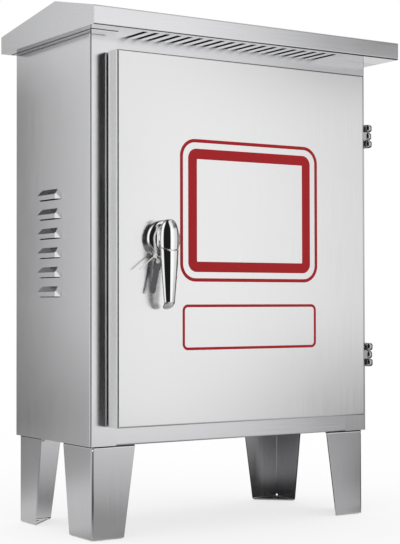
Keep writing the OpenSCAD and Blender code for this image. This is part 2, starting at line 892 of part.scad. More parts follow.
module lock_rosette() {
    r = rosette_dia / 2;
    rim = r - rosette_round;
    color(chrome) at_lock(door_face_y) forward() rotate_extrude() difference() {
        union() {
            square([r, rosette_t - rosette_round]);
            square([rim, rosette_t]);
            translate([rim, rosette_t - rosette_round]) circle(rosette_round);
            square([collar_dia / 2, rosette_t + collar_l]);
            translate([0, -barrel_l]) square([barrel_r, barrel_l + eps]);
        }
        translate([-over, -2 * barrel_l]) square([over + spindle_r + turn_fit, 4 * barrel_l]);
    }
}

lock_nut_t = 6;

module lock_nut() {
    color(zinc) at_lock(door_in_y + lock_nut_t) forward() difference() {
        cylinder(h = lock_nut_t, r = barrel_r * 1.5, $fn = 6);
        translate([0, 0, -over]) cylinder(h = lock_nut_t + 2 * over, r = barrel_r + turn_fit);
    }
}

// Lever: rings of an oval section from the head's crown down to the toe

lever_sides = 32;
crown_steps = 7;
shank_steps = 14;
tip_round = 5;
taper_power = 1.35;
toe_l = 10;
toe_power = 1.4;
belly_z = -1.8;
tip_z = -lever_reach + tip_round;
dome_angles = [for (i = [1 : crown_steps]) i * 90 / (crown_steps + 1)];

function mix(a, b, t) = a + (b - a) * t;
function grip(z) = max(0, min(1, (belly_z - z) / (belly_z - tip_z)));
function toe(z) = lever_toe * pow(max(0, toe_l - lever_reach - z) / toe_l, toe_power);

// Each ring is its height and how far its section is drawn in
lever_rings = concat(
    [for (a = dome_angles) [mix(belly_z, lever_top, cos(a)), sin(a)]],
    [for (i = [0 : shank_steps]) [mix(belly_z, tip_z, i / shank_steps), 1]],
    [for (a = dome_angles) [tip_z - tip_round * sin(a), cos(a)]]);

function lever_half_w(ring) =
    ring[1] * mix(lever_head_w, lever_tip_w, pow(grip(ring[0]), taper_power)) / 2;
function lever_point(ring, a) = [
    lever_half_w(ring) * cos(a),
    lever_half_w(ring) * lever_flat * sin(a) + toe(ring[0]),
    ring[0]];

module lever_form() {
    n = lever_sides;
    last = (len(lever_rings) - 1) * n;
    points = [for (ring = lever_rings, j = [0 : n - 1]) lever_point(ring, 360 * j / n)];
    upper = [for (k = [0 : len(lever_rings) - 2], j = [0 : n - 1])
        [k * n + j, k * n + (j + 1) % n, (k + 1) * n + j]];
    lower = [for (k = [0 : len(lever_rings) - 2], j = [0 : n - 1])
        [k * n + (j + 1) % n, (k + 1) * n + (j + 1) % n, (k + 1) * n + j]];
    crown = [[for (j = [0 : n - 1]) n - 1 - j]];
    tip = [[for (j = [0 : n - 1]) last + j]];
    polyhedron(points, concat(crown, upper, lower, tip));
}

cover_split = 1;
cover_pin_l = 9;
plug_l = 5.5;

// The disc round the cover's pin that parts the cover from the lever, in front of the split
module cover_zone(extra) {
    translate([0, extra - cover_split, cover_pin_up]) forward()
        cylinder(h = lever_head_t, r = cover_pin_up + cover_seam + extra);
}

module lever_handle() {
    color(chrome) at_lock(lever_y) difference() {
        union() {
            difference() {
                lever_form();
                cover_zone(face_gap);
            }
            translate([0, lever_head_t / 2, 0]) forward()
                cylinder(h = lever_head_t / 2 + cover_split - face_gap, r = neck_r);
        }
        translate([0, plug_l, 0]) forward() cylinder(h = lever_head_t, r = plug_r + turn_fit);
        translate([0, cover_pin_l / 2, cover_pin_up]) forward() cylinder(h = lever_head_t, r = cover_pin_r);
    }
}

module keyhole_cover() {
    color(chrome) at_lock(lever_y) difference() {
        intersection() {
            lever_form();
            cover_zone(0);
        }
        translate([0, 0, cover_pin_up]) forward()
            cylinder(h = cover_pin_l / 2 + face_gap, r = cover_pin_r + turn_fit);
    }
}

module cover_pin() {
    color(zinc) at_lock(lever_y) translate([0, cover_pin_l / 2, cover_pin_up]) forward()
        cylinder(h = cover_pin_l, r = cover_pin_r);
}

keyway_w = 1.6;
keyway_h = 8;

module lock_plug() {
    color(zinc) at_lock(lever_y) difference() {
        translate([0, plug_l - turn_fit, 0]) forward()
            cylinder(h = plug_l + cover_split - face_gap - turn_fit, r = plug_r);
        translate([-keyway_w / 2, -over, -keyway_h / 2]) cube([keyway_w, over + plug_l / 2, keyway_h]);
    }
}

// Latch

cam_square = 9;
cam_screw_r = 2.5;
cam_screw_l = 14;

module lock_spindle() {
    front = collar_y - face_gap;
    color(zinc) at_lock(0) difference() {
        union() {
            translate([0, cam_y, 0]) forward() cylinder(h = cam_y - front, r = spindle_r);
            translate([-cam_square / 2, cam_y - eps, -cam_square / 2])
                cube([cam_square, cam_t + eps, cam_square]);
        }
        translate([0, cam_y + cam_t + over, 0]) forward()
            cylinder(h = cam_screw_l + over, r = cam_screw_r + turn_fit);
    }
}

module latch_cam() {
    hole = cam_square + 2 * turn_fit;
    color(zinc) at_lock(0) along_y(cam_y, cam_y + cam_t) difference() {
        union() {
            circle(cam_w * 0.6);
            translate([-cam_w / 2, 0]) square([cam_w, cam_reach - cam_w / 2]);
            translate([0, cam_reach - cam_w / 2]) circle(cam_w / 2);
        }
        square(hole, center = true);
    }
}

module cam_screw() {
    color(zinc) at_lock(cam_y + cam_t) {
        translate([0, nut_t(cam_screw_r), 0]) forward() bolt(cam_screw_r, cam_screw_l - 1);
    }
}

// Key, hung by a tie from the collar behind the lever

tie_y = door_face_y - rosette_t - collar_l / 2;
tie_lean = 247;
tie_fit = 0.1;
tie_end_r = 4;
tie_steps = 24;
tie_head = [4, 4.2, 6];
tie_head_angle = 165;
tie_tail = [32, 2.2, 0.9];
tie_tail_angle = 218;
tie_end = ray(tie_lean, tie_reach - tie_end_r);
key_hole_r = 3.5;
key_hole_fit = 2.8;
key_bow_w = 11;
key_bow_l = 21;
key_blade_w = 8;
key_tip = 3;
key_turn = 40;
key_lean = 12;

// The loop round the collar and the key's hole, as two arcs with straight sides between them
function tie_loop(grow) =
    let (big = collar_dia / 2 + tie_fit, half = acos((big - tie_end_r) / norm(tie_end)))
    concat(arc([0, 0], big + grow, tie_lean + half, 360 - 2 * half, tie_steps),
        arc(tie_end, tie_end_r + grow, tie_lean - half, 2 * half, tie_steps));

module key_tie() {
    color(nylon) at_lock(tie_y) {
        along_y(-tie_w / 2, tie_w / 2) difference() {
            polygon(tie_loop(tie_t));
            polygon(tie_loop(0));
        }
        translate([tie_end[0], 0, tie_end[1]]) {
            rotate([0, -tie_head_angle, 0])
                translate([tie_end_r + tie_t / 2, -tie_head[1] / 2, -tie_head[2] / 2]) cube(tie_head);
            rotate([0, -tie_head_angle, 0]) translate([tie_end_r + tie_t + tie_head[0] / 2, 0, 0])
                rotate([0, tie_head_angle - tie_tail_angle, 0])
                    translate([0, -tie_tail[1] / 2, -tie_tail[2] / 2]) cube(tie_tail);
        }
    }
}

// The key's flat outline, with the middle of its hole at the origin
module key_outline() {
    difference() {
        union() {
            circle(key_bow_w / 2);
            translate([-key_bow_w / 2, key_bow_w - key_bow_l]) square([key_bow_w, key_bow_l - key_bow_w]);
            translate([0, key_bow_w - key_bow_l]) circle(key_bow_w / 2);
            polygon([[-key_blade_w / 2, 0], [-key_blade_w / 2, key_bow_w / 2 + key_tip - key_l],
                [-key_blade_w / 4, key_bow_w / 2 - key_l], [key_blade_w / 4, key_bow_w / 2 - key_l],
                [key_blade_w / 2, key_bow_w / 2 + key_tip - key_l], [key_blade_w / 2, 0]]);
        }
        circle(key_hole_r);
    }
}

// The key hangs with its bow on the strap, turned and leaning out behind the lever
module door_key() {
    hang = ray(tie_lean, tie_reach);
    drop = sqrt(pow(key_hole_r, 2) - pow(key_hole_fit, 2));
    color(zinc) at_lock(tie_y) translate([hang[0], 0, hang[1] - drop])
        rotate([0, key_lean, 0]) rotate([0, 0, key_turn]) along_x(-key_t / 2, key_t / 2) key_outline();
}

left_side_panel();
right_side_panel();
back_panel();
top_pan();
bottom_pan();
hood_shell();
hood_end_left();
hood_end_right();
hood_rib_left();
hood_rib_right();
hood_bolts();
leg_front_left();
leg_front_right();
leg_rear_left();
leg_rear_right();
leg_bolts();
leg_nuts();
mounting_plate();
plate_studs();
plate_nuts();
earth_stud();
earth_nuts();
cable_grommet_left();
cable_grommet_right();
hinge_frame_leaf_upper();
hinge_frame_leaf_lower();
hinge_pin_upper();
hinge_pin_lower();
hinge_frame_nuts();
door_panel();
door_gasket();
hinge_door_leaf_upper();
hinge_door_leaf_lower();
hinge_door_nuts();
lock_rosette();
lock_nut();
door_earth_stud();
key_tie();
door_key();
lever_handle();
lock_spindle();
latch_cam();
cam_screw();
cover_pin();
keyhole_cover();
lock_plug();
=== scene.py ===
"""Looks of a freestanding sheet metal enclosure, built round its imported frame. Metres, +Z up."""

import json
import math

import bmesh
import bpy
from mathutils import Matrix, Vector


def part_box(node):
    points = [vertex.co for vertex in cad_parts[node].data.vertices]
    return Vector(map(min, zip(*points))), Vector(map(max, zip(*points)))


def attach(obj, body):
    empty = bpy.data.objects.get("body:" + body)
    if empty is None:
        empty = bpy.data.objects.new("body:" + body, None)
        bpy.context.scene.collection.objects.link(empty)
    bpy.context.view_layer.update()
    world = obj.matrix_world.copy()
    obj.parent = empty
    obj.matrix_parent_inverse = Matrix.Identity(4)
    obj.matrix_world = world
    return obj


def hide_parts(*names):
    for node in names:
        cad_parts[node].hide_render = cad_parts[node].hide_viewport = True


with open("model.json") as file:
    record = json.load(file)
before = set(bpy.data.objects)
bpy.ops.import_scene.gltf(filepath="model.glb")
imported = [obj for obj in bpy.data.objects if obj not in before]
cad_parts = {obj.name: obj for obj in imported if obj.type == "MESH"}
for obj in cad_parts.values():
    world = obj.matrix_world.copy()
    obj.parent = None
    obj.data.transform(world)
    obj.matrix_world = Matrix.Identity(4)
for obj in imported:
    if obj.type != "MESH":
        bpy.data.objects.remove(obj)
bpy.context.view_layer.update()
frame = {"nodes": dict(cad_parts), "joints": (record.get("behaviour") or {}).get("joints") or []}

MM = 0.001
NODES = frame["nodes"]
JOINTS = {joint["name"]: joint for joint in frame["joints"]}
LOCK_AXIS = Vector(JOINTS["handle_turn"]["pos_m"])

# Camera, solved from the photograph's straight edges
IMAGE_LONG_SIDE = 544
FOCAL_PIXELS = 1428.5
SENSOR_WIDTH = 36
CAMERA_PLACE = Vector((-1.2208, -1.8805, 0.3352))
CAMERA_YAW = math.radians(33.25)
CAMERA_PITCH = math.radians(1.24)
CAMERA_ROLL = math.radians(-0.11)
CLIP_START = 0.05

# Linear colours
SHEET_COLOUR = (0.77, 0.77, 0.785)
DOOR_COLOUR = (0.84, 0.84, 0.845)
LEG_COLOUR = (0.71, 0.71, 0.725)
CHROME_COLOUR = (0.92, 0.925, 0.93)
HINGE_COLOUR = (0.5, 0.5, 0.51)
ZINC_COLOUR = (0.50, 0.52, 0.54)
KEY_COLOUR = (0.1, 0.1, 0.103)
RUBBER_COLOUR = (0.018, 0.018, 0.02)
NYLON_COLOUR = (0.80, 0.80, 0.76)
PRINT_COLOUR = (0.35, 0.010, 0.014)
WHITE = (1.0, 1.0, 1.0)

# Directions across the brushed grain, which fit every face of a sheet that runs along the grain
ACROSS_UPRIGHT = Vector((1, 1, 0)).normalized()
ACROSS_LEVEL = Vector((0, 1, 1)).normalized()
ACROSS_DEPTH = Vector((1, 0, 1)).normalized()


# Materials

class Shader:
    """A material with one Principled shader, and short ways to add the nodes that feed it."""

    def __init__(self, name, colour, roughness, metallic=0.0):
        self.material = bpy.data.materials.new(name)
        self.material.use_nodes = True
        self.tree = self.material.node_tree
        self.bsdf = self.tree.nodes["Principled BSDF"]
        self.coords = self.node("ShaderNodeTexCoord").outputs["Object"]
        self.material.diffuse_color = (*colour, 1)
        self.set("Base Color", (*colour, 1))
        self.set("Roughness", roughness)
        self.set("Metallic", metallic)

    def node(self, kind, **settings):
        made = self.tree.nodes.new(kind)
        for key, value in settings.items():
            setattr(made, key, value)
        return made

    def link(self, output, node, name):
        self.tree.links.new(output, node.inputs[name])

    def set(self, name, value):
        self.bsdf.inputs[name].default_value = value

    def feed(self, name, output):
        self.link(output, self.bsdf, name)

    def axes(self):
        """The surface point's X, Y and Z in the object's frame."""
        split = self.node("ShaderNodeSeparateXYZ")
        self.link(self.coords, split, "Vector")
        return [split.outputs[name] for name in "XYZ"]

    def noise(self, scale, detail=3.0, roughness=0.55):
        """Noise over the object, with its own scale for each axis in cycles a metre."""
        mapping = self.node("ShaderNodeMapping")
        mapping.inputs["Scale"].default_value = scale
        self.link(self.coords, mapping, "Vector")
        noise = self.node("ShaderNodeTexNoise")
        noise.inputs["Scale"].default_value = 1.0
        noise.inputs["Detail"].default_value = detail
        noise.inputs["Roughness"].default_value = roughness
        self.link(mapping.outputs["Vector"], noise, "Vector")
        return noise.outputs["Fac"]

    def spread(self, value, low, high, start=0.3, end=0.7):
        """A value's range from start to end, drawn out to low and high and held there beyond it."""
        ranged = self.node("ShaderNodeMapRange")
        self.link(value, ranged, "Value")
        for name, number in (("From Min", start), ("From Max", end), ("To Min", low), ("To Max", high)):
            ranged.inputs[name].default_value = number
        return ranged.outputs["Result"]

    def maths(self, operation, a, b=0.0):
        made = self.node("ShaderNodeMath", operation=operation)
        for i, value in enumerate((a, b)):
            if isinstance(value, (int, float)):
                made.inputs[i].default_value = value
            else:
                self.tree.links.new(value, made.inputs[i])
        return made.outputs["Value"]

    def every(self, *tests):
        """One where all the tests are one, and nought elsewhere."""
        result = tests[0]
        for test in tests[1:]:
            result = self.maths("MULTIPLY", result, test)
        return result

    def apart(self, value, middle):
        """How far a value lies from a middle."""
        return self.maths("ABSOLUTE", self.maths("SUBTRACT", value, middle))

    def shade_colour(self, colour, factor):
        """The base colour times a factor that varies over the surface."""
        scaled = self.node("ShaderNodeVectorMath", operation="SCALE")
        scaled.inputs[0].default_value = colour
        self.link(factor, scaled, "Scale")
        self.feed("Base Color", scaled.outputs["Vector"])

    def bump(self, height, depth, strength=1.0, lean=None):
        bump = self.node("ShaderNodeBump")
        bump.inputs["Distance"].default_value = depth
        bump.inputs["Strength"].default_value = strength
        self.link(height, bump, "Height")
        if lean:
            self.link(lean, bump, "Normal")
        self.feed("Normal", bump.outputs["Normal"])

    def turned(self, direction):
        """A direction of the object in the world, whatever its pose."""
        made = self.node("ShaderNodeVectorTransform", vector_type="VECTOR",
                         convert_from="OBJECT", convert_to="WORLD")
        if isinstance(direction, bpy.types.NodeSocket):
            self.link(direction, made, "Vector")
        else:
            made.inputs["Vector"].default_value = direction
        return made.outputs["Vector"]

    def normal(self):
        return self.node("ShaderNodeNewGeometry").outputs["Normal"]

    def vector_maths(self, operation, a, b):
        made = self.node("ShaderNodeVectorMath", operation=operation)
        self.tree.links.new(a, made.inputs[0])
        self.tree.links.new(b, made.inputs["Scale" if operation == "SCALE" else 1])
        return made.outputs["Vector"]

    def stretch(self, direction, amount):
        """Stretches the highlights along a direction, which lies across the brushed grain."""
        self.feed("Tangent", self.turned(direction))
        self.set("Anisotropic", amount)


GRAIN_ACROSS = 1500
GRAIN_ALONG = 9
GRAIN_DEPTH = 0.02 * MM
GRAIN_STRENGTH = 0.25
CLOUD_SCALE = (7, 7, 7)
HAZE_SCALE = (160, 160, 160)
HAZE_DEPTH = 0.01 * MM
HAZE_STRENGTH = 0.1
# Painted shade: the factor on the colour where shadow is painted, and how high above the soffit's underside
# the painted shade inside the hood starts
PAINTED_SHADE_LEVEL = 0.06
PAINTED_SHADE_LIFT = 0.12 * MM
HOOD_LOW, HOOD_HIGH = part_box("hood_shell")
FASCIA_H = 26.5 * MM
RIDGE_Y = -53.5 * MM
SHEET_T = 1.2 * MM
FOLD_R = 2.6 * MM


def hood_inside(shader):
    """One on the faces inside the hood, which get painted shade, dull and nearly black, and nought on those
    outside it.
    """
    x, y, z = shader.axes()
    eave = HOOD_LOW.z + FASCIA_H - SHEET_T / 2
    rise = HOOD_HIGH.z - HOOD_LOW.z - FASCIA_H
    roof = None
    for edge in (HOOD_LOW.y, HOOD_HIGH.y):
        slope = rise / (RIDGE_Y - edge)
        climb = shader.maths("MULTIPLY", shader.maths("SUBTRACT", y, edge), slope)
        height = shader.maths("ADD", climb, eave)
        roof = height if roof is None else shader.maths("MINIMUM", roof, height)
    under = shader.maths("LESS_THAN", z, roof)
    above = shader.maths("GREATER_THAN", z, HOOD_LOW.z + PAINTED_SHADE_LIFT)
    behind = shader.maths("GREATER_THAN", y, HOOD_LOW.y + FOLD_R)
    off_middle = shader.apart(x, (HOOD_LOW.x + HOOD_HIGH.x) / 2)
    between = shader.maths("LESS_THAN", off_middle, (HOOD_HIGH.x - HOOD_LOW.x) / 2 - FOLD_R)
    return shader.every(under, above, behind, between)


# Painted shade round the soffit's slots, which reaches from their front ends to the body
SLOT_MIDDLE = Vector((-10, -136.25)) * MM
SLOT_PITCH = 18.9 * MM
SLOT_ROW = 359 * MM
SLOT_REACH = 36.5 * MM
SLOT_SHADE_W = 8.6 * MM
FOLD_LINE = 0.8 * MM


def slot_painted_shade(shader):
    """Painted shade inside the hood, round the slots, and in a dark line along the lower front fold."""
    x, y, z = shader.axes()
    # Painted shade round each slot, wider than the slot's own opening
    along = shader.maths("SUBTRACT", x, SLOT_MIDDLE.x)
    count = shader.maths("DIVIDE", along, SLOT_PITCH)
    off_slot = shader.apart(count, shader.maths("ROUND", count))
    near = shader.maths("LESS_THAN", off_slot, SLOT_SHADE_W / SLOT_PITCH / 2)
    within = shader.maths("LESS_THAN", shader.maths("ABSOLUTE", along), SLOT_ROW / 2)
    beside = shader.maths("LESS_THAN", shader.apart(y, SLOT_MIDDLE.y), SLOT_REACH / 2)
    under = shader.maths("LESS_THAN", z, HOOD_LOW.z + SHEET_T)
    slots = shader.every(near, within, beside, under)
    # A painted shade line along the hood's lower front fold, standing for the shadow under it
    low = shader.maths("LESS_THAN", z, HOOD_LOW.z + FOLD_LINE)
    front = shader.maths("LESS_THAN", y, HOOD_LOW.y + FOLD_R)
    fold = shader.every(low, front)
    return shader.maths("MAXIMUM", hood_inside(shader), shader.maths("MAXIMUM", slots, fold))


EDGE_ROUGHNESS = 0.26
EDGE_LEAN = 0.36
EDGE_START = 1.6 * MM
EDGE_END = 0.4 * MM


def door_edge(shader):
    """Nought on the door's face and one on its side folds."""
    off_middle = shader.maths("ABSOLUTE", shader.axes()[0])
    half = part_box("door_panel")[1].x
    return shader.spread(off_middle, 0.0, 1.0, half - EDGE_START, half - EDGE_END)


def edge_lean(shader, edge):
    """The surface's normal, which leans to the front on the side folds as a crowned edge does."""
    front = shader.vector_maths("SCALE", shader.turned(Vector((0, -EDGE_LEAN, 0))), edge)
    return shader.vector_maths("ADD", shader.normal(), front)


HEAD_ROUGHNESS = 0.05
HEAD_BRIGHT = 1 * MM
HEAD_FADE = 6 * MM


def head_edge(shader):
    """One on the frame's head next to the hood, which is nearly bright, and nought lower down."""
    height = shader.axes()[2]
    return shader.spread(height, 0.0, 1.0, HOOD_LOW.z - HEAD_FADE, HOOD_LOW.z - HEAD_BRIGHT)


def brushed_sheet(name, colour, grain, across, roughness, anisotropy, painted_shade=None, patch=None, crowned=False):
    """Satin stainless sheet with fine brushed lines along one axis and faint clouds.

    A patch is an area with a roughness of its own, and a crowned sheet's normal leans there. Where painted
    shade is given, that area is painted dull and nearly black, standing in for shadow.
    """
    shader = Shader(name, colour, roughness, metallic=1.0)
    scale = [GRAIN_ALONG if axis == grain else GRAIN_ACROSS for axis in "xyz"]
    lines = shader.noise(scale, detail=2.0)
    clouds = shader.noise(CLOUD_SCALE, detail=4.0)
    shade = shader.maths("MULTIPLY", shader.spread(lines, 0.955, 1.03), shader.spread(clouds, 0.97, 1.02))
    # Painted shade: the colour goes nearly black and the sheet dull, standing in for shadow
    if painted_shade:
        in_shade = painted_shade(shader)
        shade = shader.maths("MULTIPLY", shade, shader.spread(in_shade, 1.0, PAINTED_SHADE_LEVEL, 0.0, 1.0))
        shader.feed("Metallic", shader.spread(in_shade, 1.0, 0.0, 0.0, 1.0))
        shader.feed("Specular IOR Level", shader.spread(in_shade, 0.5, 0.0, 0.0, 1.0))
    shader.shade_colour(colour, shade)
    level = shader.maths("ADD", shader.spread(lines, -0.03, 0.03), shader.spread(clouds, -0.02, 0.02))
    lean = None
    if patch:
        find_area, own_roughness = patch
        area = find_area(shader)
        level = shader.maths("ADD", level, shader.maths("MULTIPLY", area, own_roughness - roughness))
        lean = edge_lean(shader, area) if crowned else None
    shader.feed("Roughness", shader.maths("ADD", level, roughness))
    shader.bump(lines, GRAIN_DEPTH, GRAIN_STRENGTH, lean)
    shader.stretch(across, anisotropy)
    return shader.material


def polished_metal(name, colour, roughness, crown_axis=None):
    """Plated casting with a faint haze, whose flat faces may be crowned about an axis along Y."""
    shader = Shader(name, colour, roughness, metallic=1.0)
    haze = shader.noise(HAZE_SCALE, detail=5.0)
    shader.feed("Roughness", shader.spread(haze, roughness * 0.7, roughness * 1.5))
    shader.shade_colour(colour, shader.spread(haze, 0.97, 1.02))
    if crown_axis:
        shader.bump(haze, HAZE_DEPTH, HAZE_STRENGTH, crown_lean(shader, crown_axis))
    return shader.material


CROWN_LEAN = 0.24


def crown_lean(shader, axis):
    """The surface's normal, which leans away from an axis along Y as on a shallow dome."""
    x, _, z = shader.axes()
    across = shader.node("ShaderNodeCombineXYZ")
    shader.link(shader.maths("SUBTRACT", x, axis.x), across, "X")
    shader.link(shader.maths("SUBTRACT", z, axis.z), across, "Z")
    outward = shader.node("ShaderNodeVectorMath", operation="NORMALIZE")
    shader.link(across.outputs["Vector"], outward, 0)
    sized = shader.node("ShaderNodeVectorMath", operation="SCALE")
    shader.link(outward.outputs["Vector"], sized, 0)
    sized.inputs["Scale"].default_value = CROWN_LEAN
    return shader.vector_maths("ADD", shader.normal(), shader.turned(sized.outputs["Vector"]))


def zinc_plate():
    """Zinc-plated steel with the soft patches of its plating."""
    shader = Shader("zinc_plate", ZINC_COLOUR, 0.34, metallic=1.0)
    patches = shader.noise((45, 45, 45), detail=6.0)
    shader.shade_colour(ZINC_COLOUR, shader.spread(patches, 0.94, 1.03))
    shader.feed("Roughness", shader.spread(patches, 0.31, 0.37))
    return shader.material


def seal_rubber():
    """Black foamed rubber with fine open cells."""
    shader = Shader("seal_rubber", RUBBER_COLOUR, 0.75)
    cells = shader.noise((1800, 1800, 1800), detail=3.0)
    shader.shade_colour(RUBBER_COLOUR, shader.spread(cells, 0.6, 1.5))
    shader.bump(cells, 0.0002, 0.5)
    return shader.material


def tie_nylon():
    """Natural nylon, slightly cloudy."""
    shader = Shader("tie_nylon", NYLON_COLOUR, 0.38)
    clouds = shader.noise((260, 260, 260))
    shader.shade_colour(NYLON_COLOUR, shader.spread(clouds, 0.93, 1.04))
    shader.feed("Roughness", shader.spread(clouds, 0.32, 0.46))
    return shader.material


def red_print():
    """Screen print with a slightly uneven film."""
    shader = Shader("red_print", PRINT_COLOUR, 0.42)
    film = shader.noise((420, 420, 420), detail=4.0)
    shader.set("Specular IOR Level", 0.12)
    shader.shade_colour(PRINT_COLOUR, shader.spread(film, 0.92, 1.07))
    shader.feed("Roughness", shader.spread(film, 0.36, 0.5))
    return shader.material


MATERIALS = {
    "side_sheet": brushed_sheet("side_sheet", SHEET_COLOUR, "z", ACROSS_UPRIGHT, 0.19, 0.3, hood_inside),
    "head_sheet": brushed_sheet("head_sheet", SHEET_COLOUR, "x", ACROSS_LEVEL, 0.22, 0.4, hood_inside,
                                (head_edge, HEAD_ROUGHNESS)),
    "pan_sheet": brushed_sheet("pan_sheet", SHEET_COLOUR, "x", ACROSS_LEVEL, 0.19, 0.4),
    "hood_sheet": brushed_sheet("hood_sheet", SHEET_COLOUR, "x", ACROSS_LEVEL, 0.17, 0.4, slot_painted_shade),
    "gable_sheet": brushed_sheet("gable_sheet", SHEET_COLOUR, "y", ACROSS_DEPTH, 0.25, 0.3, hood_inside),
    "door_sheet": brushed_sheet("door_sheet", DOOR_COLOUR, "z", ACROSS_UPRIGHT, 0.21, 0.45,
                                patch=(door_edge, EDGE_ROUGHNESS), crowned=True),
    "leg_sheet": brushed_sheet("leg_sheet", LEG_COLOUR, "z", ACROSS_UPRIGHT, 0.2, 0.35),
    "chrome": polished_metal("chrome", CHROME_COLOUR, 0.05),
    "rosette_chrome": polished_metal("rosette_chrome", CHROME_COLOUR, 0.07, LOCK_AXIS),
    "hinge_metal": polished_metal("hinge_metal", HINGE_COLOUR, 0.1),
    "key_metal": polished_metal("key_metal", KEY_COLOUR, 0.22),
    "zinc_plate": zinc_plate(),
    "seal_rubber": seal_rubber(),
    "tie_nylon": tie_nylon(),
    "red_print": red_print(),
}

FINISHES = {
    "side_sheet": ["left_side_panel", "right_side_panel", "back_panel"],
    "head_sheet": ["top_pan"],
    "pan_sheet": ["bottom_pan"],
    "hood_sheet": ["hood_shell"],
    "gable_sheet": ["hood_end_left", "hood_end_right"],
    "door_sheet": ["door_panel"],
    "leg_sheet": ["leg_front_left", "leg_front_right", "leg_rear_left", "leg_rear_right"],
    "chrome": ["lever_handle", "keyhole_cover"],
    "rosette_chrome": ["lock_rosette"],
    "hinge_metal": ["hinge_frame_leaf_upper", "hinge_frame_leaf_lower", "hinge_door_leaf_upper",
                    "hinge_door_leaf_lower", "hinge_pin_upper", "hinge_pin_lower"],
    "zinc_plate": ["hood_rib_left", "hood_rib_right", "hood_bolts", "leg_bolts", "leg_nuts",
                   "mounting_plate", "plate_studs", "plate_nuts", "earth_stud", "earth_nuts",
                   "hinge_frame_nuts", "hinge_door_nuts", "lock_nut", "door_earth_stud",
                   "lock_spindle", "latch_cam", "cam_screw", "cover_pin", "lock_plug"],
    "key_metal": ["door_key"],
    "seal_rubber": ["door_gasket", "cable_grommet_left", "cable_grommet_right"],
    "tie_nylon": ["key_tie"],
}

for finish, names in FINISHES.items():
    for name in names:
        NODES[name].data.materials.clear()
        NODES[name].data.materials.append(MATERIALS[finish])


# Pieces

SMOOTH_ANGLE = math.radians(35)


def piece(name, mesh, body, finish, slot, *replaced):
    """A piece of the object on one of its bodies, with its place in its mesh."""
    mesh.name = name
    made = bpy.data.objects.new(name, mesh)
    bpy.context.scene.collection.objects.link(made)
    mesh.materials.clear()
    mesh.materials.append(MATERIALS[finish])
    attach(made, body)
    if replaced:
        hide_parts(*replaced)
    return made


def shade_smooth(mesh):
    mesh.polygons.foreach_set("use_smooth", [True] * len(mesh.polygons))
    mesh.set_sharp_from_angle(angle=SMOOTH_ANGLE)


def mesh_of(name, points, faces):
    mesh = bpy.data.meshes.new(name)
    mesh.from_pydata(points, [], faces)
    mesh.update()
    return mesh


def lofted(name, rings):
    """A closed skin through rings of equal point counts, capped at both ends."""
    count = len(rings[0])
    points = [point for ring in rings for point in ring]
    faces = []
    for k in range(len(rings) - 1):
        for j in range(count):
            i = (j + 1) % count
            faces.append((k * count + j, k * count + i, (k + 1) * count + i, (k + 1) * count + j))
    faces.append(tuple(reversed(range(count))))
    faces.append(tuple((len(rings) - 1) * count + j for j in range(count)))
    return mesh_of(name, points, faces)


def carved(mesh, *steps):
    """A mesh after steps that cut or join other meshes, which are used up."""
    work = bpy.data.objects.new("carved", mesh)
    bpy.context.scene.collection.objects.link(work)
    tools = []
    for operation, tool_mesh in steps:
        tool = bpy.data.objects.new("tool", tool_mesh)
        bpy.context.scene.collection.objects.link(tool)
        tools.append(tool)
        modifier = work.modifiers.new("cut", "BOOLEAN")
        modifier.operation = operation
        modifier.solver = "EXACT"
        modifier.object = tool
    bpy.context.view_layer.update()
    made = bpy.data.meshes.new_from_object(work.evaluated_get(bpy.context.evaluated_depsgraph_get()))
    for done in (work, *tools):
        old = done.data
        bpy.data.objects.remove(done)
        bpy.data.meshes.remove(old)
    return made


def forward_round(name, centre, profile, steps=96):
    """A solid turned about an axis through a centre, along Y: the profile is pairs of radius and Y."""
    rings = []
    for radius, y in profile:
        angles = [math.tau * j / steps for j in range(steps)]
        rings.append([centre + Vector((radius * math.cos(a), y, radius * math.sin(a))) for a in angles])
    return lofted(name, rings)


# Lever and keyhole cover: the same loft as the part's source, with finer rings and a seam groove

LEVER_TOP = 27.9 * MM
LEVER_REACH = 100 * MM
LEVER_HEAD_W = 30.3 * MM
LEVER_TIP_W = 16 * MM
LEVER_FLAT = 0.55
LEVER_TOE = 9 * MM
TIP_ROUND = 5 * MM
TAPER_POWER = 1.35
TOE_L = 10 * MM
TOE_POWER = 1.4
BELLY_Z = -1.8 * MM
CROWN = 0.82
NECK_R = 13 * MM
COVER_SEAM = 17 * MM
COVER_PIN_UP = 18 * MM
COVER_PIN_R = 1.5 * MM
COVER_PIN_L = 9 * MM
COVER_SPLIT = 1 * MM
PLUG_R = 6 * MM
PLUG_L = 5.5 * MM
FACE_GAP = 0.3 * MM
TURN_FIT = 0.05 * MM
GROOVE_WIDTH = 0.55 * MM
GROOVE_DEPTH = 0.055
LEVER_SIDES = 96
DOME_RINGS = 30
DOME_START = 0.4
SHANK_RINGS = 160
LEVER_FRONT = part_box("keyhole_cover")[0].y
LEVER_CENTRE = Vector((LOCK_AXIS.x, LEVER_FRONT + LEVER_HEAD_W * LEVER_FLAT / 2, LOCK_AXIS.z))


def mix(a, b, t):
    return a + (b - a) * t


def lever_rings():
    """Heights of the lever's rings, each with how far its section is drawn in."""
    tip = TIP_ROUND - LEVER_REACH
    turns = [math.radians(90 * (i + DOME_START) / DOME_RINGS) for i in range(DOME_RINGS)]
    dome = [(mix(BELLY_Z, LEVER_TOP, math.cos(a) ** CROWN), math.sin(a) ** CROWN) for a in turns]
    shank = [(mix(BELLY_Z, tip, i / SHANK_RINGS), 1.0) for i in range(SHANK_RINGS + 1)]
    end = [(tip - TIP_ROUND * math.sin(a), math.cos(a)) for a in turns[1:]]
    return dome + shank + end


